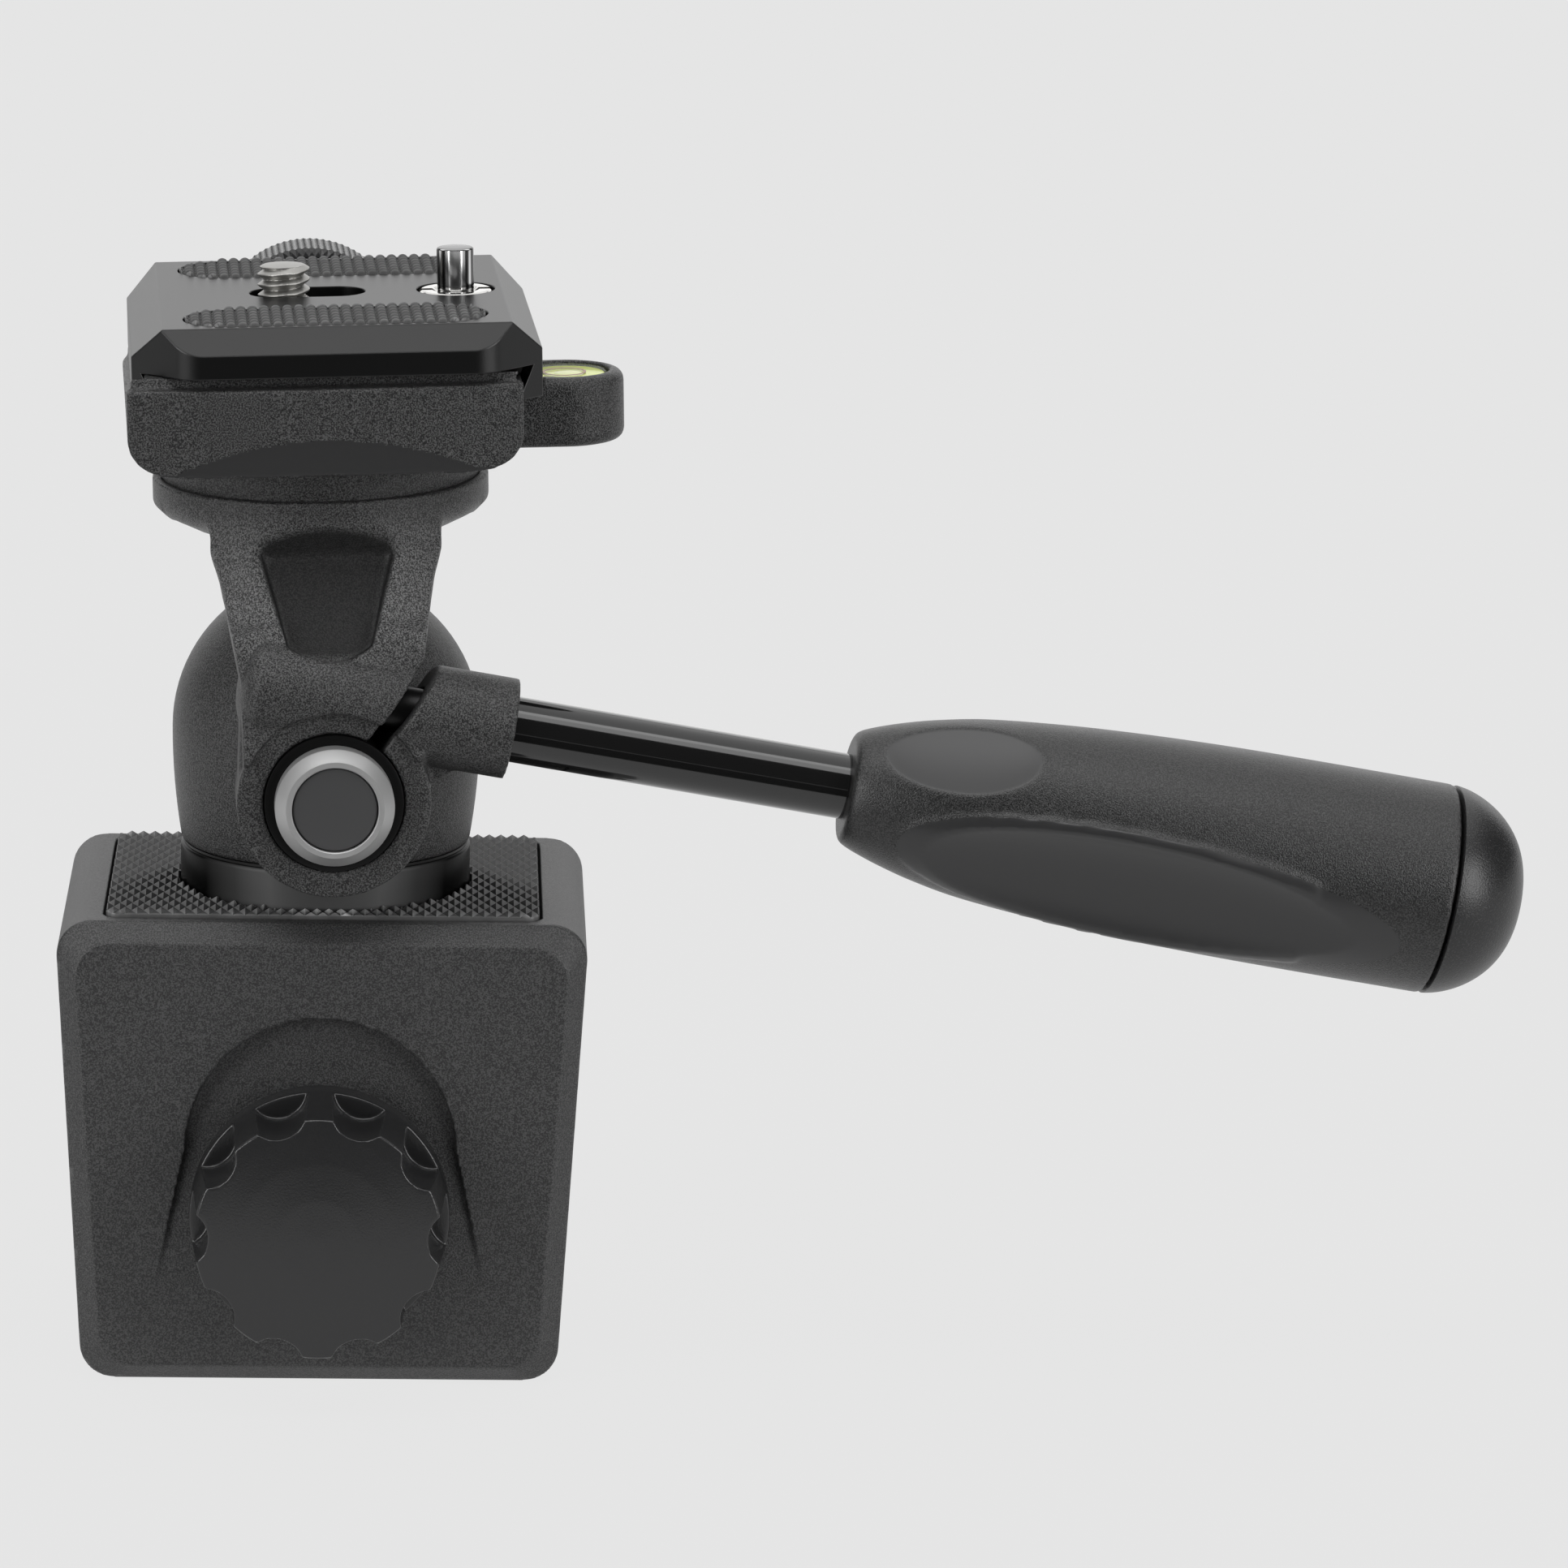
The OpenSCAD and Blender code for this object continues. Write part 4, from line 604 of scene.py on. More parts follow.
platform = solid_of("platform", "platform_casting")
face = extruded("face", SIDE_LINE + [(-x, z) for x, z in reversed(SIDE_LINE)], SLAB_BACK, SLAB_FRONT)
set_in(face, STAND)
shares = [i / BULGE_STEPS for i in range(-BULGE_STEPS, BULGE_STEPS + 1)]
arc = [(HALF_WIDTH * t, -FRONT - BULGE * (1 - t ** 2)) for t in shares]
cut(face, extruded("arc", arc + [(HALF_WIDTH, -18.5), (-HALF_WIDTH, -18.5)], 30, 55), "INTERSECT")
shave = block("shave", (-40, -20, -20), (40, 0, 0))
cut(face, set_in(shave, Matrix.Rotation(FACET_LEAN, 4, "X"), shift(*FACET_POINT)))
set_in(face, TILT)

# %% [markdown]
# An ear on the side of the platform holds the level. It is an outline with a round end, with a seat cut for the vial.
# The casting, its face and the ear then run into one skin, and the faces of the facet are noted for a finish.

# %% Level ear and platform
ear_low, ear_high = reach("level_vial", TILT)
ear_x, ear_y = (ear_low.x + ear_high.x) / 2, (ear_low.y + ear_high.y) / 2
EAR_RADIUS = 7.25
EAR_BOTTOM, EAR_TOP = 39.4, 48.0
NECK_START = 19.8
SEAT_RADIUS = 5.45
ear_rim = [(ear_x + EAR_RADIUS * math.sin(a), ear_y - EAR_RADIUS * math.cos(a))
           for a in [math.pi * i / 32 for i in range(33)]]
neck = [(NECK_START, ear_y + EAR_RADIUS), (NECK_START, ear_y - EAR_RADIUS)]
ear = extruded("ear", ear_rim + neck, EAR_BOTTOM, EAR_TOP)
softened(ear, 1.3, segments=4, angle=60)
cut(ear, set_in(turned("seat", [(SEAT_RADIUS, 44), (SEAT_RADIUS, 52)]), shift(ear_x, ear_y, 0)))
cut(ear, block("claw_room", (15, -20, 47.2), (26.8, 20, 60)))
for low, high in [((NECK_START, ear_y - EAR_RADIUS, 30), (45, ear_y + EAR_RADIUS, 44)),
                  ((HALF_WIDTH + 0.05, ear_y - 9, 30), (45, ear_y + 9, 60)),
                  ((-30, -24, 45.6), (-22.9, 40, 60))]:
    cut(platform, set_in(block("room", low, high), TILT))
set_in(ear, TILT)
below = turned("below", [(SPIGOT_RADIUS, 30), (45, 30), (45, UNDERSIDE), (SPIGOT_RADIUS, UNDERSIDE), (SPIGOT_RADIUS, 30)],
               ring=True)
cut(platform, set_in(below, TILT))
platform = joined("platform_casting", platform, face, ear)
melted(platform, grain=0.3, rounds=3, keep=0.35)
facet_out = Matrix.Rotation(FACET_LEAN, 3, "X") @ Vector((0, 1, 0))
facet_faces = []
for polygon in platform.data.polygons:
    spot = to_tilt @ polygon.center / MM
    down = (to_tilt.to_3x3() @ polygon.normal).z
    if spot.y < -20 and -0.5 < down < -0.09 and abs((spot - FACET_POINT).dot(facet_out)) < 0.2:
        facet_faces.append(polygon.index)
dress(platform, "cast_black", "platform")

# %% [markdown]
# The axle ends in a bright turned cap with a bevelled rim, round a plain dark disc, and a black bush shows
# round it. All three are lathe work, turned about the axle.

# %% Axle cap, disc and bush
cap_low, cap_high = reach("axle_cap", AXLE)
cap_radius = cap_high.x
cap_height = cap_high.y - cap_low.y
_, disc_high = reach("cap_disc", AXLE)
disc_radius = disc_high.x
CAP_BORE = 2.1
DISC_THICKNESS = 1.0
cap_line = [(CAP_BORE, 0), (cap_radius, 0), (cap_radius, cap_height - 1.5), (cap_radius - 0.1, cap_height - 1.3),
            (disc_radius + 0.95, cap_height - 0.2), (disc_radius + 0.8, cap_height), (disc_radius + 0.2, cap_height),
            (disc_radius + 0.1, cap_height - 0.1), (disc_radius + 0.1, DISC_THICKNESS), (CAP_BORE, DISC_THICKNESS),
            (CAP_BORE, 0)]
cap = turned("axle_cap_ring", cap_line, sides=128, ring=True)
smooth(cap, 18)
set_in(cap, STAND, shift(0, cap_high.y, 0), AXLE)
dress(cap, "turned_cap", "axle_cap")

disc_line = [(0.4, 0), (disc_radius, 0), (disc_radius, DISC_THICKNESS - 0.2), (disc_radius - 0.2, DISC_THICKNESS),
             (0.4, DISC_THICKNESS)]
disc = turned("axle_cap_disc", eased(disc_line, 0.1, 2), sides=96)
set_in(smooth(disc), STAND, shift(0, disc_high.y, 0), AXLE)
dress(disc, "badge_disc", "cap_disc")

bush_low, bush_high = reach("tilt_bush", AXLE)
bush_radius = bush_high.x
bush_length = bush_high.y - bush_low.y
BUSH_BORE, BUSH_BODY, BUSH_FLANGE = 6.23, 7.6, 0.9
bush_line = [(BUSH_BORE, 0), (BUSH_BODY, 0), (BUSH_BODY, bush_length - BUSH_FLANGE),
             (bush_radius, bush_length - BUSH_FLANGE), (bush_radius, bush_length), (BUSH_BORE, bush_length),
             (BUSH_BORE, 0)]
bush = turned("tilt_bush_ring", eased(bush_line, 0.15, 2), sides=96, ring=True)
set_in(smooth(bush), STAND, shift(0, bush_high.y, 0), AXLE)
dress(bush, "acetal_black", "tilt_bush")

# %% [markdown]
# The handle is a gloss black rod with a soft grip. The rod is turned, and its thinner inner end screws into the
# bracket's nut.

# %% Handle rod
rod_low, rod_high = reach("handle_rod", HANDLE)
_, grip_high = reach("handle_grip", HANDLE)
end_low, end_high = reach("grip_end_cap", HANDLE)
ROD_RADIUS = 4.0
THREAD_RADIUS, THREAD_END = 2.9, 14.8
rod_line = [(0.5, rod_low.z), (THREAD_RADIUS, rod_low.z), (THREAD_RADIUS, THREAD_END), (ROD_RADIUS, THREAD_END + 0.1),
            (ROD_RADIUS, rod_high.z), (0.5, rod_high.z)]
rod = turned("handle_rod_bar", eased(rod_line, 0.2), sides=64)
thread_faces = [face.index for face in rod.data.polygons if face.center.z < THREAD_END * MM]
set_in(smooth(rod), HANDLE)
dress(rod, "rod_gloss", "handle_rod")

# %% [markdown]
# The grip swells from a narrow neck to its full size. A few rings give its form, and a smooth line is drawn through
# them before it is turned.

# %% Grip
GRIP_RADIUS = 12.9
GRIP_BORE = 4.05
GRIP_START, GRIP_FULL = 61.0, 118
GRIP_RINGS = [(5.9, GRIP_START), (6.6, 61.2), (7.05, 61.8), (7.5, 62.8), (8.05, 64.3), (8.85, 66.8), (9.9, 70.8),
              (11.0, 76.8), (11.95, 86.7), (12.5, 96.6), (12.8, 106.6), (GRIP_RADIUS, GRIP_FULL)]
grip_end = grip_high.z - 0.05
grip = turned("handle_grip_soft", [(GRIP_BORE, GRIP_START)] + flowing(GRIP_RINGS + [(GRIP_RADIUS, grip_end)], 6)
              + [(GRIP_BORE, grip_end)], sides=192)


# %% [markdown]
# An egg-shaped tool shaves the thumb rest and a second one hollows the finger scoop, on both sides. A thin lip stands
# round each scoop: a slightly larger egg keeps that much of a fuller grip.

# %% Hollows of the grip


def around(lift, side):
    """Direction across the handle, at an angle above the level, on the near side or the far one."""
    return Vector((-math.sin(math.radians(lift)), side * math.cos(math.radians(lift)), 0))


ALONG = Vector((0, 0, 1))
THUMB_REST = {"at": 72.4, "lift": 48, "radius": 10.4, "depth": 1.7, "lean": 9.6, "radii": (2.6, 10, 12.4),
              "smooth": 1.015}
FINGER_SCOOP = {"at": 96.0, "lift": -25, "radius": 12.4, "depth": 3.1, "lean": 2.6, "radii": (6.6, 10.8, 36.5),
                "smooth": 1.15}
LIP_HEIGHT, LIP_SIZE = 0.6, 1.16
LIP_MIDDLE, LIP_REACH = 94, 31
LIP_START = 63.0


def lip_round(hollow, place):
    """A fuller grip, kept only between the scoop and an egg a little larger than it."""
    rings = [(radius + LIP_HEIGHT * max(0, 1 - ((along - LIP_MIDDLE) / LIP_REACH) ** 2), along)
             for radius, along in GRIP_RINGS[3:]]
    lip = turned("lip", [(GRIP_BORE, LIP_START)] + flowing(rings, 6) + [(GRIP_BORE, GRIP_FULL)], sides=192)
    bead = egg("bead", (0, 0, 0), [r * LIP_SIZE for r in hollow["radii"]])
    cut(lip, set_in(bead, place), "INTERSECT")
    return cut(lip, set_in(egg("scoop", (0, 0, 0), hollow["radii"]), place))


lips = []
hollow_places = []
for hollow in (THUMB_REST, FINGER_SCOOP):
    for side in (-1, 1):
        out = around(hollow["lift"], side)
        stand_off = hollow["radius"] - hollow["depth"] + hollow["radii"][0]
        place = (Matrix.Translation((out * stand_off + ALONG * hollow["at"]) * MM)
                 @ Matrix.Rotation(math.radians(hollow["lean"]), 4, ALONG.cross(out))
                 @ square_frame((0, 0, 0), out, ALONG.cross(out), ALONG))
        cut(grip, set_in(egg("scoop", (0, 0, 0), hollow["radii"]), place))
        if hollow is FINGER_SCOOP:
            lips.append(lip_round(hollow, place))
        size = Matrix.Diagonal([r * MM for r in hollow["radii"]]).to_4x4()
        hollow_places.append((HANDLE @ place @ size, hollow["smooth"]))
grip = joined("handle_grip_soft", grip, *lips)
melted(grip, grain=0.33, rounds=8, keep=0.4)
set_in(grip, HANDLE)
dress(grip, "grip_rubber", "handle_grip")

# %% [markdown]
# The end cap is a blunt dome, fuller than a ball. A curve gives its profile, with the points closest at its end.

# %% End cap
cap_ring = GRIP_RADIUS - 0.05
cap_length = end_high.z - end_low.z
dome_line = []
for i in range(1, 25):
    t = math.sin(math.pi / 2 * i / 25)
    dome_line.append((cap_ring * (1 - t ** 1.6) ** 0.38, end_low.z + cap_length * t))
end_cap = turned("grip_end_dome", [(4.0, end_low.z), (cap_ring - 0.25, end_low.z), (cap_ring, end_low.z + 0.15)]
                 + dome_line + [(1.0, end_high.z)], sides=128)
set_in(smooth(end_cap, 50), HANDLE)
dress(end_cap, "end_cap_soft", "grip_end_cap")

# %% [markdown]
# The quick plate is milled from bar: sharp outlines with a small bevel that catches the light. Its solid has
# the right outline, so a copy is cleaned of its triangles. The upright edges at its ends get a wide round, and
# every other edge a small bevel.

# %% Quick plate
PLATE_CORNER = 1.9
plate = solid_of("quick_plate", "quick_plate_bar")
edit_all()
bpy.ops.mesh.dissolve_limited(angle_limit=math.radians(1))
bpy.ops.mesh.select_all(action="DESELECT")
bpy.ops.object.mode_set(mode="OBJECT")
ends = [to_tilt @ vertex.co / MM for vertex in plate.data.vertices]
outermost = max(abs(end.y) for end in ends)
for edge in plate.data.edges:
    one, two = (ends[i] for i in edge.vertices)
    at_end = min(abs(one.y), abs(two.y)) > outermost - 0.1
    edge.select = at_end and abs(one.z - two.z) > 1.2 and abs(one.x - two.x) < 0.2
print(sum(edge.select for edge in plate.data.edges), "upright edges rounded")
bpy.ops.object.mode_set(mode="EDIT")
bpy.ops.mesh.select_mode(type="EDGE")
bpy.ops.mesh.bevel(offset=PLATE_CORNER * MM, segments=8, affect="EDGES", clamp_overlap=True)
bpy.ops.object.mode_set(mode="OBJECT")
softened(plate, 0.2, segments=2, angle=20)
smooth(plate, 10)
dress(plate, "anodised_black", "quick_plate")

# %% [markdown]
# Two rubber strips lie in round-ended grooves in the plate. Their scales are small arches in straight columns,
# made by lifting the points of a grid. The sheet is then trimmed to the groove's outline.

# %% Rubber strips
strip_low, strip_high = reach("rubber_strips", TILT)
STRIP_WIDTH = 12.0
SCALE_HEIGHT = 0.7
STRIP_GAP = 0.4
strip_length = strip_high.x - strip_low.x
strip_x = (strip_high.x + strip_low.x) / 2


def stadium(length, width, steps=24):
    half = (length - width) / 2
    right = [(half + width / 2 * math.cos(a), width / 2 * math.sin(a))
             for a in [math.pi * (i / steps - 0.5) for i in range(steps + 1)]]
    return right + [(-x, -y) for x, y in right]


SCALE_WIDTH, SCALE_DEPTH, SCALE_STEPS = 1.4, 1.85, 8
SCALE_ROWS = [(0.0, 0.0), (1.0, 0.08), (0.5, 0.6)]


def arched_sheet(name, length, width, height, back):
    """A sheet of arched scales in straight columns. Each has an upright front and falls away behind it."""
    columns, rows = int(length / SCALE_WIDTH) + 2, int(width / SCALE_DEPTH) + 2
    nothing_selected()
    lines = len(SCALE_ROWS)
    bpy.ops.mesh.primitive_grid_add(x_subdivisions=columns * SCALE_STEPS, y_subdivisions=rows * lines, size=2)
    piece = named(name)
    for vertex in piece.data.vertices:
        across = round((vertex.co.x + 1) / 2 * columns * SCALE_STEPS)
        along = round((vertex.co.y + 1) / 2 * rows * lines)
        arch = math.sqrt(max(0.0, 1 - (2 * (across % SCALE_STEPS) / SCALE_STEPS - 1) ** 2))
        lift, step = SCALE_ROWS[along % lines]
        vertex.co = ((across / SCALE_STEPS - columns / 2) * SCALE_WIDTH * MM,
                     (along // lines + step - rows / 2) * SCALE_DEPTH * MM, height * lift * arch * MM)
    edit_all()
    bpy.ops.mesh.region_to_loop()
    bpy.ops.mesh.extrude_edges_move(TRANSFORM_OT_translate={"value": (0, 0, -back * MM)})
    bpy.ops.mesh.edge_face_add()
    close_up()
    return piece


strips = []
for side in (-1, 1):
    strip_y = side * (strip_high.y - STRIP_WIDTH / 2)
    strip = arched_sheet("strip", strip_length, STRIP_WIDTH, SCALE_HEIGHT, 0.7)
    cut(strip, extruded("outline", stadium(strip_length - STRIP_GAP, STRIP_WIDTH - STRIP_GAP), -5, 5), "INTERSECT")
    strips.append(set_in(strip, shift(strip_x, strip_y, strip_high.z - SCALE_HEIGHT), TILT))
strip_pair = joined("rubber_strip_pair", *strips)
dress(strip_pair, "strip_rubber", "rubber_strips")

# %% [markdown]
# The camera screw has a real thread here. A small pointed profile is wound up by the Screw modifier, joined with a
# core, run into one skin and trimmed to a chamfered end. A bump in the material wouldn't show in its outline.

# %% Camera screw
screw_low, screw_high = reach("camera_screw", TILT)
screw_x = (screw_low.x + screw_high.x) / 2
CREST = 3.175
PITCH = 1.27
ROOT = 2.42
plate_top = plate_high.z

TURNS = 6
tooth = [(ROOT - 0.6, 0), (ROOT, 0), (CREST, PITCH * 0.44), (CREST, PITCH * 0.56), (ROOT, PITCH * 0.98),
         (ROOT - 0.6, PITCH * 0.98)]
winding = extruded("winding", tooth, 0, 0.0001)
edit_all()
bpy.ops.mesh.delete(type="ONLY_FACE")
bpy.ops.mesh.select_all(action="SELECT")
bpy.ops.mesh.remove_doubles(threshold=1e-5)
bpy.ops.object.mode_set(mode="OBJECT")
set_in(winding, STAND)
wind = winding.modifiers.new("wind", "SCREW")
wind.angle = math.tau
wind.screw_offset = PITCH * MM
wind.iterations = TURNS
wind.steps = 48
wind.render_steps = 48
wind.axis = "Z"
wind.use_merge_vertices = True
apply(winding, wind)
edit_all()
bpy.ops.mesh.fill_holes(sides=0)
bpy.ops.mesh.normals_make_consistent(inside=False)
bpy.ops.object.mode_set(mode="OBJECT")
core = turned("core", [(ROOT, -0.5), (ROOT, 8.0)], sides=64)
screw = melted(joined("camera_screw_thread", core, winding), grain=0.07, rounds=0, keep=0.5)
set_in(screw, shift(0, 0, plate_top - 1.5))
tip = screw_high.z
end_line = [(0.3, plate_top - 0.9), (CREST + 0.2, plate_top - 0.9), (CREST + 0.2, tip - 0.6), (2.6, tip - 0.1),
            (0.3, tip)]
cut(screw, turned("end", eased(end_line, 0.1), sides=64), "INTERSECT")
HEAD_RADIUS, HEAD_HEIGHT, SHANK_RADIUS = 5.4, 2, 2.8
head_line = [(0.5, screw_low.z), (HEAD_RADIUS, screw_low.z), (HEAD_RADIUS, screw_low.z + HEAD_HEIGHT),
             (SHANK_RADIUS, screw_low.z + HEAD_HEIGHT), (SHANK_RADIUS, plate_top - 0.5), (0.5, plate_top - 0.5)]
head = turned("head", eased(head_line, 0.15), sides=64)
cut(head, block("key_slot", (-6, -0.6, screw_low.z - 1), (6, 0.6, screw_low.z + 1.1)))
screw = joined("camera_screw_thread", screw, head)
smooth(screw, 40)
set_in(screw, shift(screw_x, 0, 0), TILT)
dress(screw, "nickel", "camera_screw")

# %% [markdown]
# The pin beside the screw is turned and polished, and a slotted nut holds it in the plate. Both are lathe work, and a
# block cuts the slot.

# %% Video pin and its nut
pin_low, pin_high = reach("video_pin", TILT)
pin_x = (pin_low.x + pin_high.x) / 2
PIN_RADIUS, PIN_SHANK, PIN_FLANGE = 2.25, 2.2, 3.3
pin_line = [(0.4, pin_low.z), (PIN_FLANGE, pin_low.z), (PIN_FLANGE, pin_low.z + 1), (PIN_SHANK, pin_low.z + 1),
            (PIN_SHANK, plate_top), (PIN_RADIUS, plate_top + 0.05), (PIN_RADIUS, pin_high.z - 0.15),
            (PIN_RADIUS - 0.15, pin_high.z), (0.4, pin_high.z)]
pin = turned("video_pin_rod", eased(pin_line, 0.06, 3), sides=96)
set_in(smooth(pin), shift(pin_x, 0, 0), TILT)
dress(pin, "pin_polish_painted_reflection", "video_pin")

nut_low, nut_high = reach("pin_nut", TILT)
nut_radius = nut_high.y - 0.3
NUT_BORE = 2.3
nut_line = [(NUT_BORE, nut_low.z), (nut_radius, nut_low.z), (nut_radius, nut_high.z - 0.25),
            (nut_radius - 0.25, nut_high.z), (NUT_BORE + 0.6, nut_high.z), (NUT_BORE, nut_high.z - 0.5),
            (NUT_BORE, nut_low.z)]
nut = turned("pin_nut_ring", eased(nut_line, 0.08, 2), sides=96, ring=True)
cut(nut, block("slot", (-6, -0.6, nut_high.z - 0.9), (6, 0.6, nut_high.z + 1)))
set_in(smooth(nut, 30), shift(pin_x, 0, 0), TILT)
dress(nut, "polished_steel", "pin_nut")

# %% [markdown]
# The pin's spring is pressed together while the pin sinks. Its copy gets a mesh of its own.

# %% Pin spring
spring = solid_of("pin_spring", "pin_spring_coil")
smooth(spring, 40)
dress(spring, "steel", "pin_spring")
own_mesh(spring)

# %% [markdown]
# The lock knob behind the plate is a turned drum with small points all over its rim. The rim is turned in many
# short steps, and poking its faces lifts the middle of each one.

# %% Lock knob
lock_low, lock_high = reach("lock_knob", TILT)
lock_radius = (lock_high.x - lock_low.x) / 2
lock_middle = (lock_low + lock_high) / 2
lock_length = lock_high.y - lock_low.y
RIM_ROWS = 13
rim = lock_radius - 0.2
RIM_EDGE = 0.8
rim_line = [(rim, RIM_EDGE + (lock_length - 2 * RIM_EDGE) * i / RIM_ROWS) for i in range(RIM_ROWS + 1)]
RIM_EASE, DISH_RIM, DISH_DEPTH = 0.9, 3, 0.5
back_line = [(rim - RIM_EASE, lock_length), (rim - DISH_RIM, lock_length),
             (rim - DISH_RIM - 0.4, lock_length - DISH_DEPTH), (0.6, lock_length - DISH_DEPTH)]
lock_knob = turned("lock_knob_drum", [(0.6, 0), (rim - RIM_EASE, 0)] + rim_line + back_line, sides=88)
for face in lock_knob.data.polygons:
    face.select = math.hypot(face.center.x, face.center.y) > (rim - 0.2) * MM
bpy.ops.object.mode_set(mode="EDIT")
bpy.ops.mesh.select_mode(type="FACE")
bpy.ops.mesh.poke(offset=0.18 * MM)
bpy.ops.object.mode_set(mode="OBJECT")
smooth(lock_knob, 20)
set_in(lock_knob, TO_Y, shift(lock_middle.x, lock_low.y, lock_middle.z), TILT)
dress(lock_knob, "knob_plastic", "lock_knob")

# %% [markdown]
# The level is a clear vial in the ear, with a yellow-green spirit, an air bubble and a red ring. The bubble
# and the ring are thin forms just under the top of the spirit.

# %% Level
vial_low, vial_high = reach("level_vial", TILT)
vial_middle = (vial_low + vial_high) / 2
vial_radius = (vial_high.x - vial_low.x) / 2
spirit_low, _ = reach("level_liquid", TILT)
vial_top = EAR_TOP - 0.25
vial_line = [(0.4, vial_low.z), (vial_radius, vial_low.z), (vial_radius, vial_top - 0.3), (vial_radius - 0.3, vial_top),
             (0.4, vial_top)]
vial = turned("level_vial_shell", eased(vial_line, 0.12), sides=96)
set_in(smooth(vial), shift(vial_middle.x, vial_middle.y, 0), TILT)
dress(vial, "vial_clear", "level_vial")

spirit_top = vial_top - 0.3
spirit_radius = vial_radius - 0.35
spirit_line = [(0.4, spirit_low.z), (spirit_radius, spirit_low.z), (spirit_radius, spirit_top), (0.4, spirit_top)]
spirit = turned("level_spirit", eased(spirit_line, 0.2), sides=96)
set_in(smooth(spirit), shift(vial_middle.x, vial_middle.y, 0), TILT)
dress(spirit, "spirit", "level_liquid")

BUBBLE_RADIUS = 1.7
RING_RADIUS = 2.4
bubble = egg("level_bubble", (vial_middle.x + 0.5, vial_middle.y, spirit_top), (BUBBLE_RADIUS, BUBBLE_RADIUS, 0.1))
set_in(smooth(bubble), TILT)
dress(bubble, "bubble", rides="tilt", slot="vial_liquid")
ring_out = RING_RADIUS + 0.28
ring_line = [(RING_RADIUS, 0), (ring_out, 0), (ring_out, 0.05), (RING_RADIUS, 0.05), (RING_RADIUS, 0)]
mark = turned("level_ring", ring_line, sides=64, ring=True)
set_in(mark, shift(vial_middle.x, vial_middle.y, spirit_top + 0.12), TILT)
dress(mark, "red_mark", rides="tilt", slot="vial_liquid")

print(len(dressed), "pieces dressed")

# %% [markdown]
# Finishes. Their effects are node groups, and small moves keep the groups short: a sum, a fade from one value to
# another, and one colour laid over another.

# %% Node moves


def maths(tree, operation, *values, clamp=False):
    """A Math node, fed by numbers or by sockets."""
    node = tree.nodes.new("ShaderNodeMath")
    node.operation = operation
    node.use_clamp = clamp
    for socket, value in zip(node.inputs, values):
        if isinstance(value, (int, float)):
            socket.default_value = value
        else:
            tree.links.new(value, socket)
    return node.outputs[0]


def fade(tree, value, low, high):
    """Goes from 0 to 1 while the value goes from low to high."""
    node = tree.nodes.new("ShaderNodeMapRange")
    node.inputs["From Min"].default_value = low
    node.inputs["From Max"].default_value = high
    tree.links.new(value, node.inputs["Value"])
    return node.outputs["Result"]


def laid_over(tree, share, under, over, how="MIX"):
    """One colour laid over another. The one below is a colour or a socket."""
    node = tree.nodes.new("ShaderNodeMix")
    node.data_type = "RGBA"
    node.blend_type = how
    tree.links.new(share, node.inputs["Factor"])
    if isinstance(under, tuple):
        node.inputs["A"].default_value = (*under, 1)
    else:
        tree.links.new(under, node.inputs["A"])
    node.inputs["B"].default_value = (*over, 1)
    return node.outputs["Result"]


def new_group(name, inputs, outputs):
    group = bpy.data.node_groups.new(name, "ShaderNodeTree")
    for label, value in inputs.items():
        socket = group.interface.new_socket(label, in_out="INPUT", socket_type="NodeSocketFloat")
        socket.default_value = value
    for label in outputs:
        group.interface.new_socket(label, in_out="OUTPUT", socket_type="NodeSocketFloat")
    return group, group.nodes.new("NodeGroupInput"), group.nodes.new("NodeGroupOutput")


def effect_in(tree, group, **values):
    node = tree.nodes.new("ShaderNodeGroup")
    node.node_tree = group
    for label, value in values.items():
        node.inputs[label].default_value = value
    return node


def noise_in(group):
    node = group.nodes.new("ShaderNodeTexNoise")
    group.links.new(group.nodes.new("ShaderNodeTexCoord").outputs["Object"], node.inputs["Vector"])
    return node


def seen_from(group, place):
    """Object coordinates with a place's spot, turn and size taken out."""
    node = group.nodes.new("ShaderNodeMapping")
    node.vector_type = "TEXTURE"
    spot, turn, size = place.decompose()
    node.inputs["Location"].default_value = spot
    node.inputs["Rotation"].default_value = turn.to_euler()
    node.inputs["Scale"].default_value = size
    group.links.new(group.nodes.new("ShaderNodeTexCoord").outputs["Object"], node.inputs["Vector"])
    return node.outputs["Vector"]


# %% [markdown]
# Four effects are built once, as groups with named inputs and outputs: the grain with its flecks, which are also a
# painted highlight for its glints; the lighter edges, partly worn and partly a painted highlight; the painted light on
# the bracket's arm and painted shade in its pocket; and the grip's smooth hollows. The last two find their place by
# Object coordinates.

# %% Shared effects
GLINT_FLECK_GAIN = 5.0


def grain_and_glints_group():
    """Small bumps of one size, and lighter flecks on some of them, which are also a painted highlight for their glints.
    """
    group, start, end = new_group("grain", {"Scale": 2200.0, "Flecks": 0.62}, ["Height", "Fleck"])
    noise = noise_in(group)
    noise.inputs["Detail"].default_value = 2.0
    noise.inputs["Roughness"].default_value = 0.55
    group.links.new(start.outputs["Scale"], noise.inputs["Scale"])
    group.links.new(noise.outputs["Fac"], end.inputs["Height"])
    above = maths(group, "SUBTRACT", noise.outputs["Fac"], start.outputs["Flecks"])
    group.links.new(maths(group, "MULTIPLY", above, GLINT_FLECK_GAIN, clamp=True), end.inputs["Fleck"])
    return group


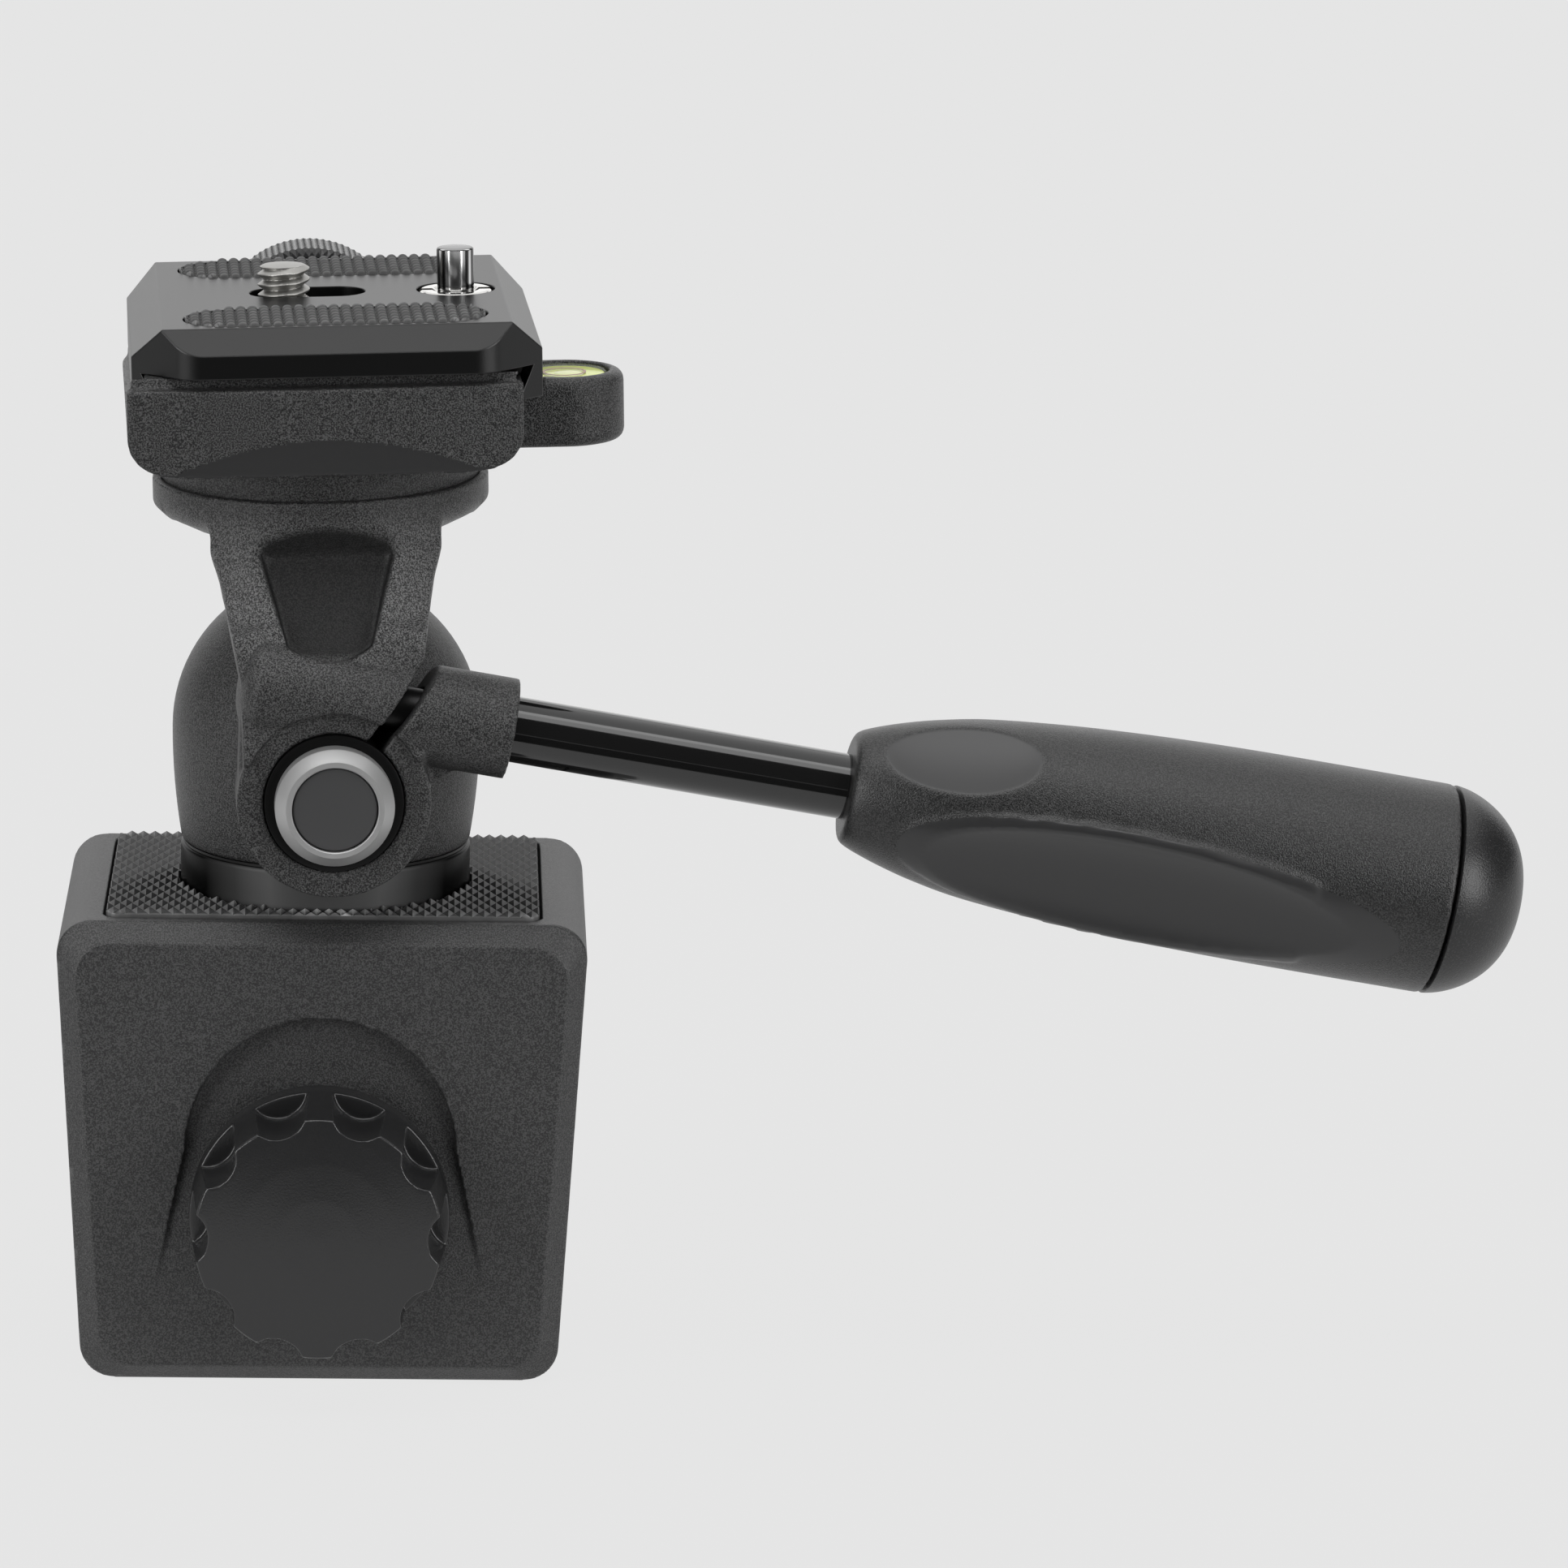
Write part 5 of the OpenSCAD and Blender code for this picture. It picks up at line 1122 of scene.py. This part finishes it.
def edge_wear_and_highlight_group():
    """A mask of the outer edges, broken up so that it is uneven: worn edges, and in part a painted highlight."""
    group, start, end = new_group("worn_and_highlit_edges", {"Edge": 0.53, "Sharpness": 14.0}, ["Mask"])
    shape = group.nodes.new("ShaderNodeNewGeometry")
    over = maths(group, "SUBTRACT", shape.outputs["Pointiness"], start.outputs["Edge"])
    gain = maths(group, "MULTIPLY", over, start.outputs["Sharpness"], clamp=True)
    noise = noise_in(group)
    noise.inputs["Scale"].default_value = 420.0
    group.links.new(maths(group, "MULTIPLY", gain, noise.outputs["Fac"]), end.inputs["Mask"])
    return group


ARM_FACE, ARM_SLOPE, ARM_LEAST = 29.9 * MM, 0.285, 20.5 * MM
POCKET_FOOT, POCKET_FLARE = 1.1 * MM, 0.26


def arm_light_and_shade_group():
    """Masks for painted light and shade on the bracket's arm: painted shade where its pocket is sunk below the arm's
    face, and painted light on the arm's own face.
    """
    group, _, end = new_group("pocket", {}, ["Pocket_painted_shade", "Arm"])
    axes = group.nodes.new("ShaderNodeSeparateXYZ")
    group.links.new(seen_from(group, TILT), axes.inputs["Vector"])
    x, y, z = (axes.outputs[axis] for axis in "XYZ")
    away = maths(group, "SQRT", maths(group, "ADD", maths(group, "MULTIPLY", x, x), maths(group, "MULTIPLY", y, y)))
    face = maths(group, "SUBTRACT", ARM_FACE, maths(group, "MULTIPLY", z, ARM_SLOPE))
    sunk = maths(group, "SUBTRACT", maths(group, "MAXIMUM", face, ARM_LEAST), away)
    half = maths(group, "MULTIPLY_ADD", z, POCKET_FLARE, POCKET_FOOT)
    inside = maths(group, "SUBTRACT", half, maths(group, "ABSOLUTE", x))
    masks = {
        "Pocket_painted_shade": [(sunk, 0.3, 1.3), (sunk, 8, 7), (inside, -0.5, 0.3), (z, 16.6, 17.6)],
        "Arm": [(z, 15, 22), (sunk, 6, 4), (z, 34, 30)],
    }
    for label, fades in masks.items():
        mask = 1.0
        for value, low, high in fades:
            mask = maths(group, "MULTIPLY", mask, fade(group, value, low * MM, high * MM))
        group.links.new(mask, end.inputs[label])
    return group


HOLLOW_FADE = 0.012


def hollows_group():
    """A mask of the grip's smooth hollows: each is a ball once its place and size are taken out."""
    group, _, end = new_group("hollows", {}, ["Mask"])
    total = 0.0
    for place, edge in hollow_places:
        away = group.nodes.new("ShaderNodeVectorMath")
        away.operation = "LENGTH"
        group.links.new(seen_from(group, place), away.inputs[0])
        total = maths(group, "MAXIMUM", total, fade(group, away.outputs["Value"], edge, edge - HOLLOW_FADE))
    group.links.new(total, end.inputs["Mask"])
    return group


GRAIN_AND_GLINTS, EDGE_WEAR_AND_HIGHLIGHT, ARM_LIGHT_AND_SHADE, HOLLOWS = grain_and_glints_group(), edge_wear_and_highlight_group(), arm_light_and_shade_group(), hollows_group()
print("effects:", GRAIN_AND_GLINTS.name, EDGE_WEAR_AND_HIGHLIGHT.name, ARM_LIGHT_AND_SHADE.name, HOLLOWS.name)

# %% [markdown]
# One recipe makes all the black finishes: a dark colour, lighter flecks that are also a painted highlight for the
# grain's glints, lighter edges that are partly wear and partly a painted highlight, a roughness, and bumps of a stated
# size. A colour can also be laid over it, or change with the angle of view as a painted reflection.

# %% Recipe for the blacks


def shader(name):
    material = bpy.data.materials.new(name)
    material.use_nodes = True
    return material, material.node_tree.nodes["Principled BSDF"]


def black(name, colour, roughness, grain=0.0, depth=0.0, fleck=0.0, fleck_from=0.42, edge=0.0, edge_from=0.53, **sockets):
    material, skin = shader(name)
    tree = material.node_tree
    skin.inputs["Roughness"].default_value = roughness
    skin.inputs["Base Color"].default_value = (*colour, 1)
    for label, value in sockets.items():
        skin.inputs[label.replace("_", " ")].default_value = value
    tone = colour
    if grain:
        effect = effect_in(tree, GRAIN_AND_GLINTS, Scale=grain, Flecks=fleck_from)
        bump = tree.nodes.new("ShaderNodeBump")
        bump.inputs["Strength"].default_value = 1.0
        bump.inputs["Distance"].default_value = depth * MM
        tree.links.new(effect.outputs["Height"], bump.inputs["Height"])
        tree.links.new(bump.outputs["Normal"], skin.inputs["Normal"])
        # The flecks are lighter spots of grain and also a painted highlight for its glints.
        if fleck:
            tone = laid_over(tree, effect.outputs["Fleck"], tone, (fleck, fleck, fleck))
    # Lighter edges: partly wear, partly a painted highlight.
    if edge:
        edge_wear_and_highlight = effect_in(tree, EDGE_WEAR_AND_HIGHLIGHT, Edge=edge_from)
        tone = laid_over(tree, edge_wear_and_highlight.outputs["Mask"], tone, (edge, edge, edge))
    if tone is not colour:
        tree.links.new(tone, skin.inputs["Base Color"])
    return material


def coated(material, share, colour, how="MIX"):
    """Lays a colour over a finish's own."""
    tree = material.node_tree
    base = tree.nodes["Principled BSDF"].inputs["Base Color"]
    tree.links.new(laid_over(tree, share, base.links[0].from_socket, colour, how), base)


def reflection_painted_by_facing(material, stops):
    """Colours a finish by how squarely it faces the viewer, as a painted reflection: 0 is square on, 1 is the rim."""
    nodes, links = material.node_tree.nodes, material.node_tree.links
    facing = nodes.new("ShaderNodeLayerWeight")
    facing.inputs["Blend"].default_value = 0.5
    tones = nodes.new("ShaderNodeValToRGB")
    band = tones.color_ramp.elements
    band.remove(band[1])
    for index, (spot, tone) in enumerate(stops):
        stop = band[0] if index == 0 else band.new(spot)
        stop.position = spot
        stop.color = (tone, tone, tone, 1)
    links.new(facing.outputs["Facing"], tones.inputs["Fac"])
    links.new(tones.outputs["Color"], nodes["Principled BSDF"].inputs["Base Color"])


# %% [markdown]
# Only the numbers differ between a casting, a moulding and rubber, so the finishes are a list.

# %% Black finishes
SMOOTH_BLACK = (0.022, 0.022, 0.0225)
SOFT_BLACK = (0.010, 0.010, 0.0105)
GLOSS_BLACK = (0.004, 0.004, 0.004)
# The flecks of these blacks are lighter spots of grain and also a painted highlight for its glints.
CAST = dict(colour=(0.004, 0.004, 0.0042), roughness=0.40, grain=5600, depth=0.1, fleck=0.08, Specular_IOR_Level=0.35)
BLACKS = {
    "cast_black": CAST,
    "cast_arm_painted_light_and_shade": CAST,
    "cast_smooth": dict(colour=SMOOTH_BLACK, roughness=0.46, grain=6000, depth=0.03, Specular_IOR_Level=0.35),
    "clamp_plastic": dict(colour=SOFT_BLACK, roughness=0.46, grain=5600, depth=0.07, fleck=0.06, edge=0.1),
    "knob_plastic": dict(colour=(0.016, 0.016, 0.0165), roughness=0.22, grain=4500, depth=0.02),
    "satin_black_painted_reflection": dict(colour=SOFT_BLACK, roughness=0.30, grain=1500, depth=0.004, Specular_IOR_Level=0.06),
    "anodised_black": dict(colour=(0.0015, 0.0015, 0.0016), roughness=0.34, grain=4000, depth=0.006,
                           Specular_IOR_Level=0.4),
    "rubber_black": dict(colour=(0.026, 0.026, 0.026), roughness=0.4, grain=3000, depth=0.01, edge=0.16),
    # The edge colour lightens the strips' scales and the pad's points: partly wear, partly a painted highlight.
    "strip_rubber": dict(colour=(0.085, 0.085, 0.085), roughness=0.36, grain=3000, depth=0.01, edge=0.5, edge_from=0.52),
    "pad_rubber": dict(colour=(0.050, 0.050, 0.050), roughness=0.34, grain=3000, depth=0.01, edge=0.8),
    "grip_rubber": dict(colour=(0.002, 0.002, 0.0021), roughness=0.34, grain=5600, depth=0.07, fleck=0.034),
    "end_cap_soft": dict(colour=SOFT_BLACK, roughness=0.34, grain=4600, depth=0.04, fleck=0.04, fleck_from=0.53),
    "rod_gloss": dict(colour=GLOSS_BLACK, roughness=0.1, Coat_Weight=0.4),
    "acetal_black": dict(colour=GLOSS_BLACK, roughness=0.35, Specular_IOR_Level=0.15),
    "badge_disc": dict(colour=(0.045, 0.045, 0.046), roughness=0.42),
}
finish = {name: black(name, **look) for name, look in BLACKS.items()}
# Painted reflection on the pan base: lighter where it faces the viewer, dark towards its rim.
reflection_painted_by_facing(finish["satin_black_painted_reflection"], [(0.0, 0.05), (0.1, 0.11), (0.24, 0.045), (0.45, 0.002)])
print("blacks:", ", ".join(finish))

# %% [markdown]
# Two of the blacks change over their piece. The bracket's arm has painted light on its face and painted shade down in
# its pocket, laid over its colour. The grip has smooth hollows: a plain colour there, and no bumps.

# %% Arm and grip
# Painted light and shade: colour gains that make the arm's face lighter and its pocket darker than the rest of the
# casting.
ARM_PAINTED_LIGHT, POCKET_PAINTED_SHADE = 2.2, 0.12
pocket = effect_in(finish["cast_arm_painted_light_and_shade"].node_tree, ARM_LIGHT_AND_SHADE)
for label, gain in (("Arm", ARM_PAINTED_LIGHT), ("Pocket_painted_shade", POCKET_PAINTED_SHADE)):
    coated(finish["cast_arm_painted_light_and_shade"], pocket.outputs[label], (gain, gain, gain), "MULTIPLY")

grip_tree = finish["grip_rubber"].node_tree
hollows = effect_in(grip_tree, HOLLOWS)
coated(finish["grip_rubber"], hollows.outputs["Mask"], SMOOTH_BLACK)
grip_bump = grip_tree.nodes["Principled BSDF"].inputs["Normal"].links[0].from_node
grip_tree.links.new(maths(grip_tree, "SUBTRACT", 1.0, hollows.outputs["Mask"]), grip_bump.inputs["Strength"])
print(len(finish), "black finishes")

# %% [markdown]
# The metals are plain shaders: steel, satin nickel, brass and the turned cap. The pin is polished, and the dark and
# bright bands along its sides are a painted reflection that changes with the angle of view.

# %% Metals, vial and spirit


def metal(name, colour, roughness, grain=0.0, depth=0.0, metallic=1.0):
    return black(name, colour, roughness, grain=grain, depth=depth, Metallic=metallic)


POLISHED = (0.72, 0.71, 0.69)
finish["steel"] = metal("steel", (0.40, 0.39, 0.38), 0.34)
finish["nickel"] = metal("nickel", (0.36, 0.355, 0.34), 0.40, grain=3000, depth=0.02)
finish["polished_steel"] = metal("polished_steel", POLISHED, 0.16)
finish["pin_polish_painted_reflection"] = metal("pin_polish_painted_reflection", POLISHED, 0.14)
# Painted reflection: dark and bright bands by the angle of view.
reflection_painted_by_facing(finish["pin_polish_painted_reflection"], [(0.0, 0.75), (0.02, 0.7), (0.05, 0.9), (0.09, 0.08), (0.28, 0.05), (0.36, 0.8),
                                 (0.45, 0.7), (0.5, 0.06), (0.9, 0.04)])
finish["turned_cap"] = metal("turned_cap", (0.42, 0.42, 0.42), 0.45, grain=2500, depth=0.008, metallic=0.7)
finish["dark_steel"] = metal("dark_steel", (0.025, 0.025, 0.025), 0.38)
finish["brass"] = metal("brass", (0.72, 0.5, 0.2), 0.3)

clear, clear_skin = shader("vial_clear")
clear_skin.inputs["Base Color"].default_value = (0.9, 0.95, 0.8, 1)
clear_skin.inputs["Roughness"].default_value = 0.05
clear_skin.inputs["Alpha"].default_value = 0.12
finish["vial_clear"] = clear
finish["spirit"] = black("spirit", (0.62, 0.70, 0.10), 0.15)
finish["bubble"] = black("bubble", (0.66, 0.70, 0.26), 0.15)
finish["red_mark"] = black("red_mark", (0.30, 0.12, 0.06), 0.4)
print(len(finish), "finishes")

# %% [markdown]
# Every dressed piece takes its finish, and the CAD nodes that still show take the finish of their slot.

# %% Put the finishes on
finish_of_slot = {
    "black_plastic": "clamp_plastic", "knob_plastic": "knob_plastic", "cast_black": "cast_black",
    "anodised_black": "satin_black_painted_reflection", "rubber_black": "rubber_black", "grip_soft": "grip_rubber", "steel": "steel",
    "nickel": "nickel", "cap_metal": "turned_cap", "brass": "brass", "black_rod": "rod_gloss",
    "slide_plastic": "acetal_black", "vial_clear": "vial_clear", "vial_liquid": "spirit",
}


def paint(piece, material):
    piece.data.materials.clear()
    piece.data.materials.append(material)


for piece, name in dressed:
    paint(piece, finish[name])
for node, piece in frame["nodes"].items():
    paint(piece, finish[finish_of_slot[slot_of_node[node]]])
paint(frame["nodes"]["pan_washer"], finish["dark_steel"])
for piece, name, faces in ((platform, "cast_smooth", facet_faces), (rod, "dark_steel", thread_faces)):
    piece.data.materials.append(finish[name])
    for index in faces:
        piece.data.polygons[index].material_index = 1
print("finishes on", len(dressed), "pieces and", len(frame["nodes"]), "nodes")

# %% [markdown]
# The picture: a pale floor, soft lamps and a long lens that looks down at the head. The camera was fitted to
# the square edges of the clamp and the plate, so its distance and angles are real ones.

# %% Camera
IMAGE_PIXELS = 1932
FOCAL_PIXELS = 10500
SENSOR = 36.0
PITCH_DOWN = 13.0
TURN = 2.35
ROLL = 1.16
DISTANCE = 1050 * MM
AIM_ACROSS = 56.42 * MM
AIM_HEIGHT = 71.01 * MM

camera = bpy.data.cameras.new("camera")
camera.sensor_width = SENSOR
camera.lens = FOCAL_PIXELS / IMAGE_PIXELS * SENSOR
camera.clip_end = 20
eye = bpy.data.objects.new("camera", camera)
bpy.context.collection.objects.link(eye)
turn = math.radians(TURN)
aim = Vector((AIM_ACROSS * math.cos(turn), -AIM_ACROSS * math.sin(turn), AIM_HEIGHT))
down = math.radians(PITCH_DOWN)
view_line = Vector((math.sin(turn) * math.cos(down), math.cos(turn) * math.cos(down), -math.sin(down)))
eye.matrix_world = (Matrix.Translation(aim - DISTANCE * view_line) @ Matrix.Rotation(-turn, 4, "Z")
                    @ Matrix.Rotation(math.radians(90) - down, 4, "X") @ Matrix.Rotation(math.radians(ROLL), 4, "Z"))
bpy.context.scene.camera = eye
print("lens", round(camera.lens, 1), "mm")

# %% [markdown]
# The floor glows pale to the camera and in mirrors, and is a plain grey floor to the lamps. A black card lies on it
# in front of the head, so that the fronts reflect something dark. The camera doesn't see the card.

# %% Floor and card
BACKDROP = (0.791, 0.791, 0.791, 1)
FLOOR = (0.55, 0.55, 0.55, 1)
GLOW_SHARE = 0.97


def backdrop_shader():
    material = bpy.data.materials.new("pale_floor")
    material.use_nodes = True
    tree = material.node_tree
    nodes, links = tree.nodes, tree.links
    nodes.clear()
    out = nodes.new("ShaderNodeOutputMaterial")
    matt = nodes.new("ShaderNodeBsdfDiffuse")
    matt.inputs["Color"].default_value = FLOOR
    glow = nodes.new("ShaderNodeEmission")
    glow.inputs["Color"].default_value = BACKDROP
    path = nodes.new("ShaderNodeLightPath")
    seen = path.outputs["Is Camera Ray"]
    for ray in ("Is Glossy Ray", "Is Transmission Ray"):
        seen = maths(tree, "MAXIMUM", seen, path.outputs[ray])
    mix = nodes.new("ShaderNodeMixShader")
    links.new(maths(tree, "MULTIPLY", seen, GLOW_SHARE), mix.inputs["Fac"])
    links.new(matt.outputs[0], mix.inputs[1])
    links.new(glow.outputs[0], mix.inputs[2])
    links.new(mix.outputs[0], out.inputs["Surface"])
    return material


nothing_selected()
bpy.ops.mesh.primitive_plane_add(size=12, location=(0, 0, -0.0002))
floor = named("floor")
floor.data.materials.append(backdrop_shader())
floor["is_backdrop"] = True

bpy.ops.mesh.primitive_plane_add(size=2, location=(0, -1.18, -0.0001))
card = named("black_card")
card.scale = (1.6, 1.0, 1)
bpy.ops.object.transform_apply(location=True, scale=True)
paint(card, black("card_black", (0.01, 0.01, 0.01), 0.9))
card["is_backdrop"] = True
card.visible_camera = False
print("on the stage:", floor.name, card.name)


# %% [markdown]
# Wide soft lamps stand above, behind and at both sides, as in a light tent, and a weak white world fills the rest.

# %% Lamps and world


def lamp(name, where, at, size, watts):
    light = bpy.data.lights.new(name, "AREA")
    light.shape = "RECTANGLE"
    light.size, light.size_y = size
    light.energy = watts
    holder = bpy.data.objects.new(name, light)
    bpy.context.collection.objects.link(holder)
    holder.location = where
    holder.rotation_euler = (Vector(at) - Vector(where)).to_track_quat("-Z", "Y").to_euler()
    return holder


MIDDLE = (0.04, 0, 0.07)
lamp("key_softbox", (0, -0.45, 1.25), MIDDLE, (1.4, 0.6), 7)
lamp("ceiling_softbox", (0, 0.75, 1.4), (0, 0.75, 0), (3.0, 2.4), 23)
lamp("back_softbox", (0, 1.9, 0.65), (0, 0, 0.3), (3.2, 1.1), 12)
lamp("left_softbox", (-0.9, -0.75, 0.35), MIDDLE, (0.6, 0.8), 8)
lamp("right_softbox", (0.95, -0.75, 0.35), MIDDLE, (0.6, 0.8), 8)

world = bpy.context.scene.world or bpy.data.worlds.new("world")
bpy.context.scene.world = world
world.use_nodes = True
sky = world.node_tree.nodes["Background"]
sky.inputs["Color"].default_value = (1, 1, 1, 1)
sky.inputs["Strength"].default_value = 0.08
bpy.context.scene.view_settings.view_transform = "Standard"
print("stage ready")

# %% Size and finish
low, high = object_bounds()
print("size, mm:", [round((b - a) / MM, 1) for a, b in zip(low, high)])
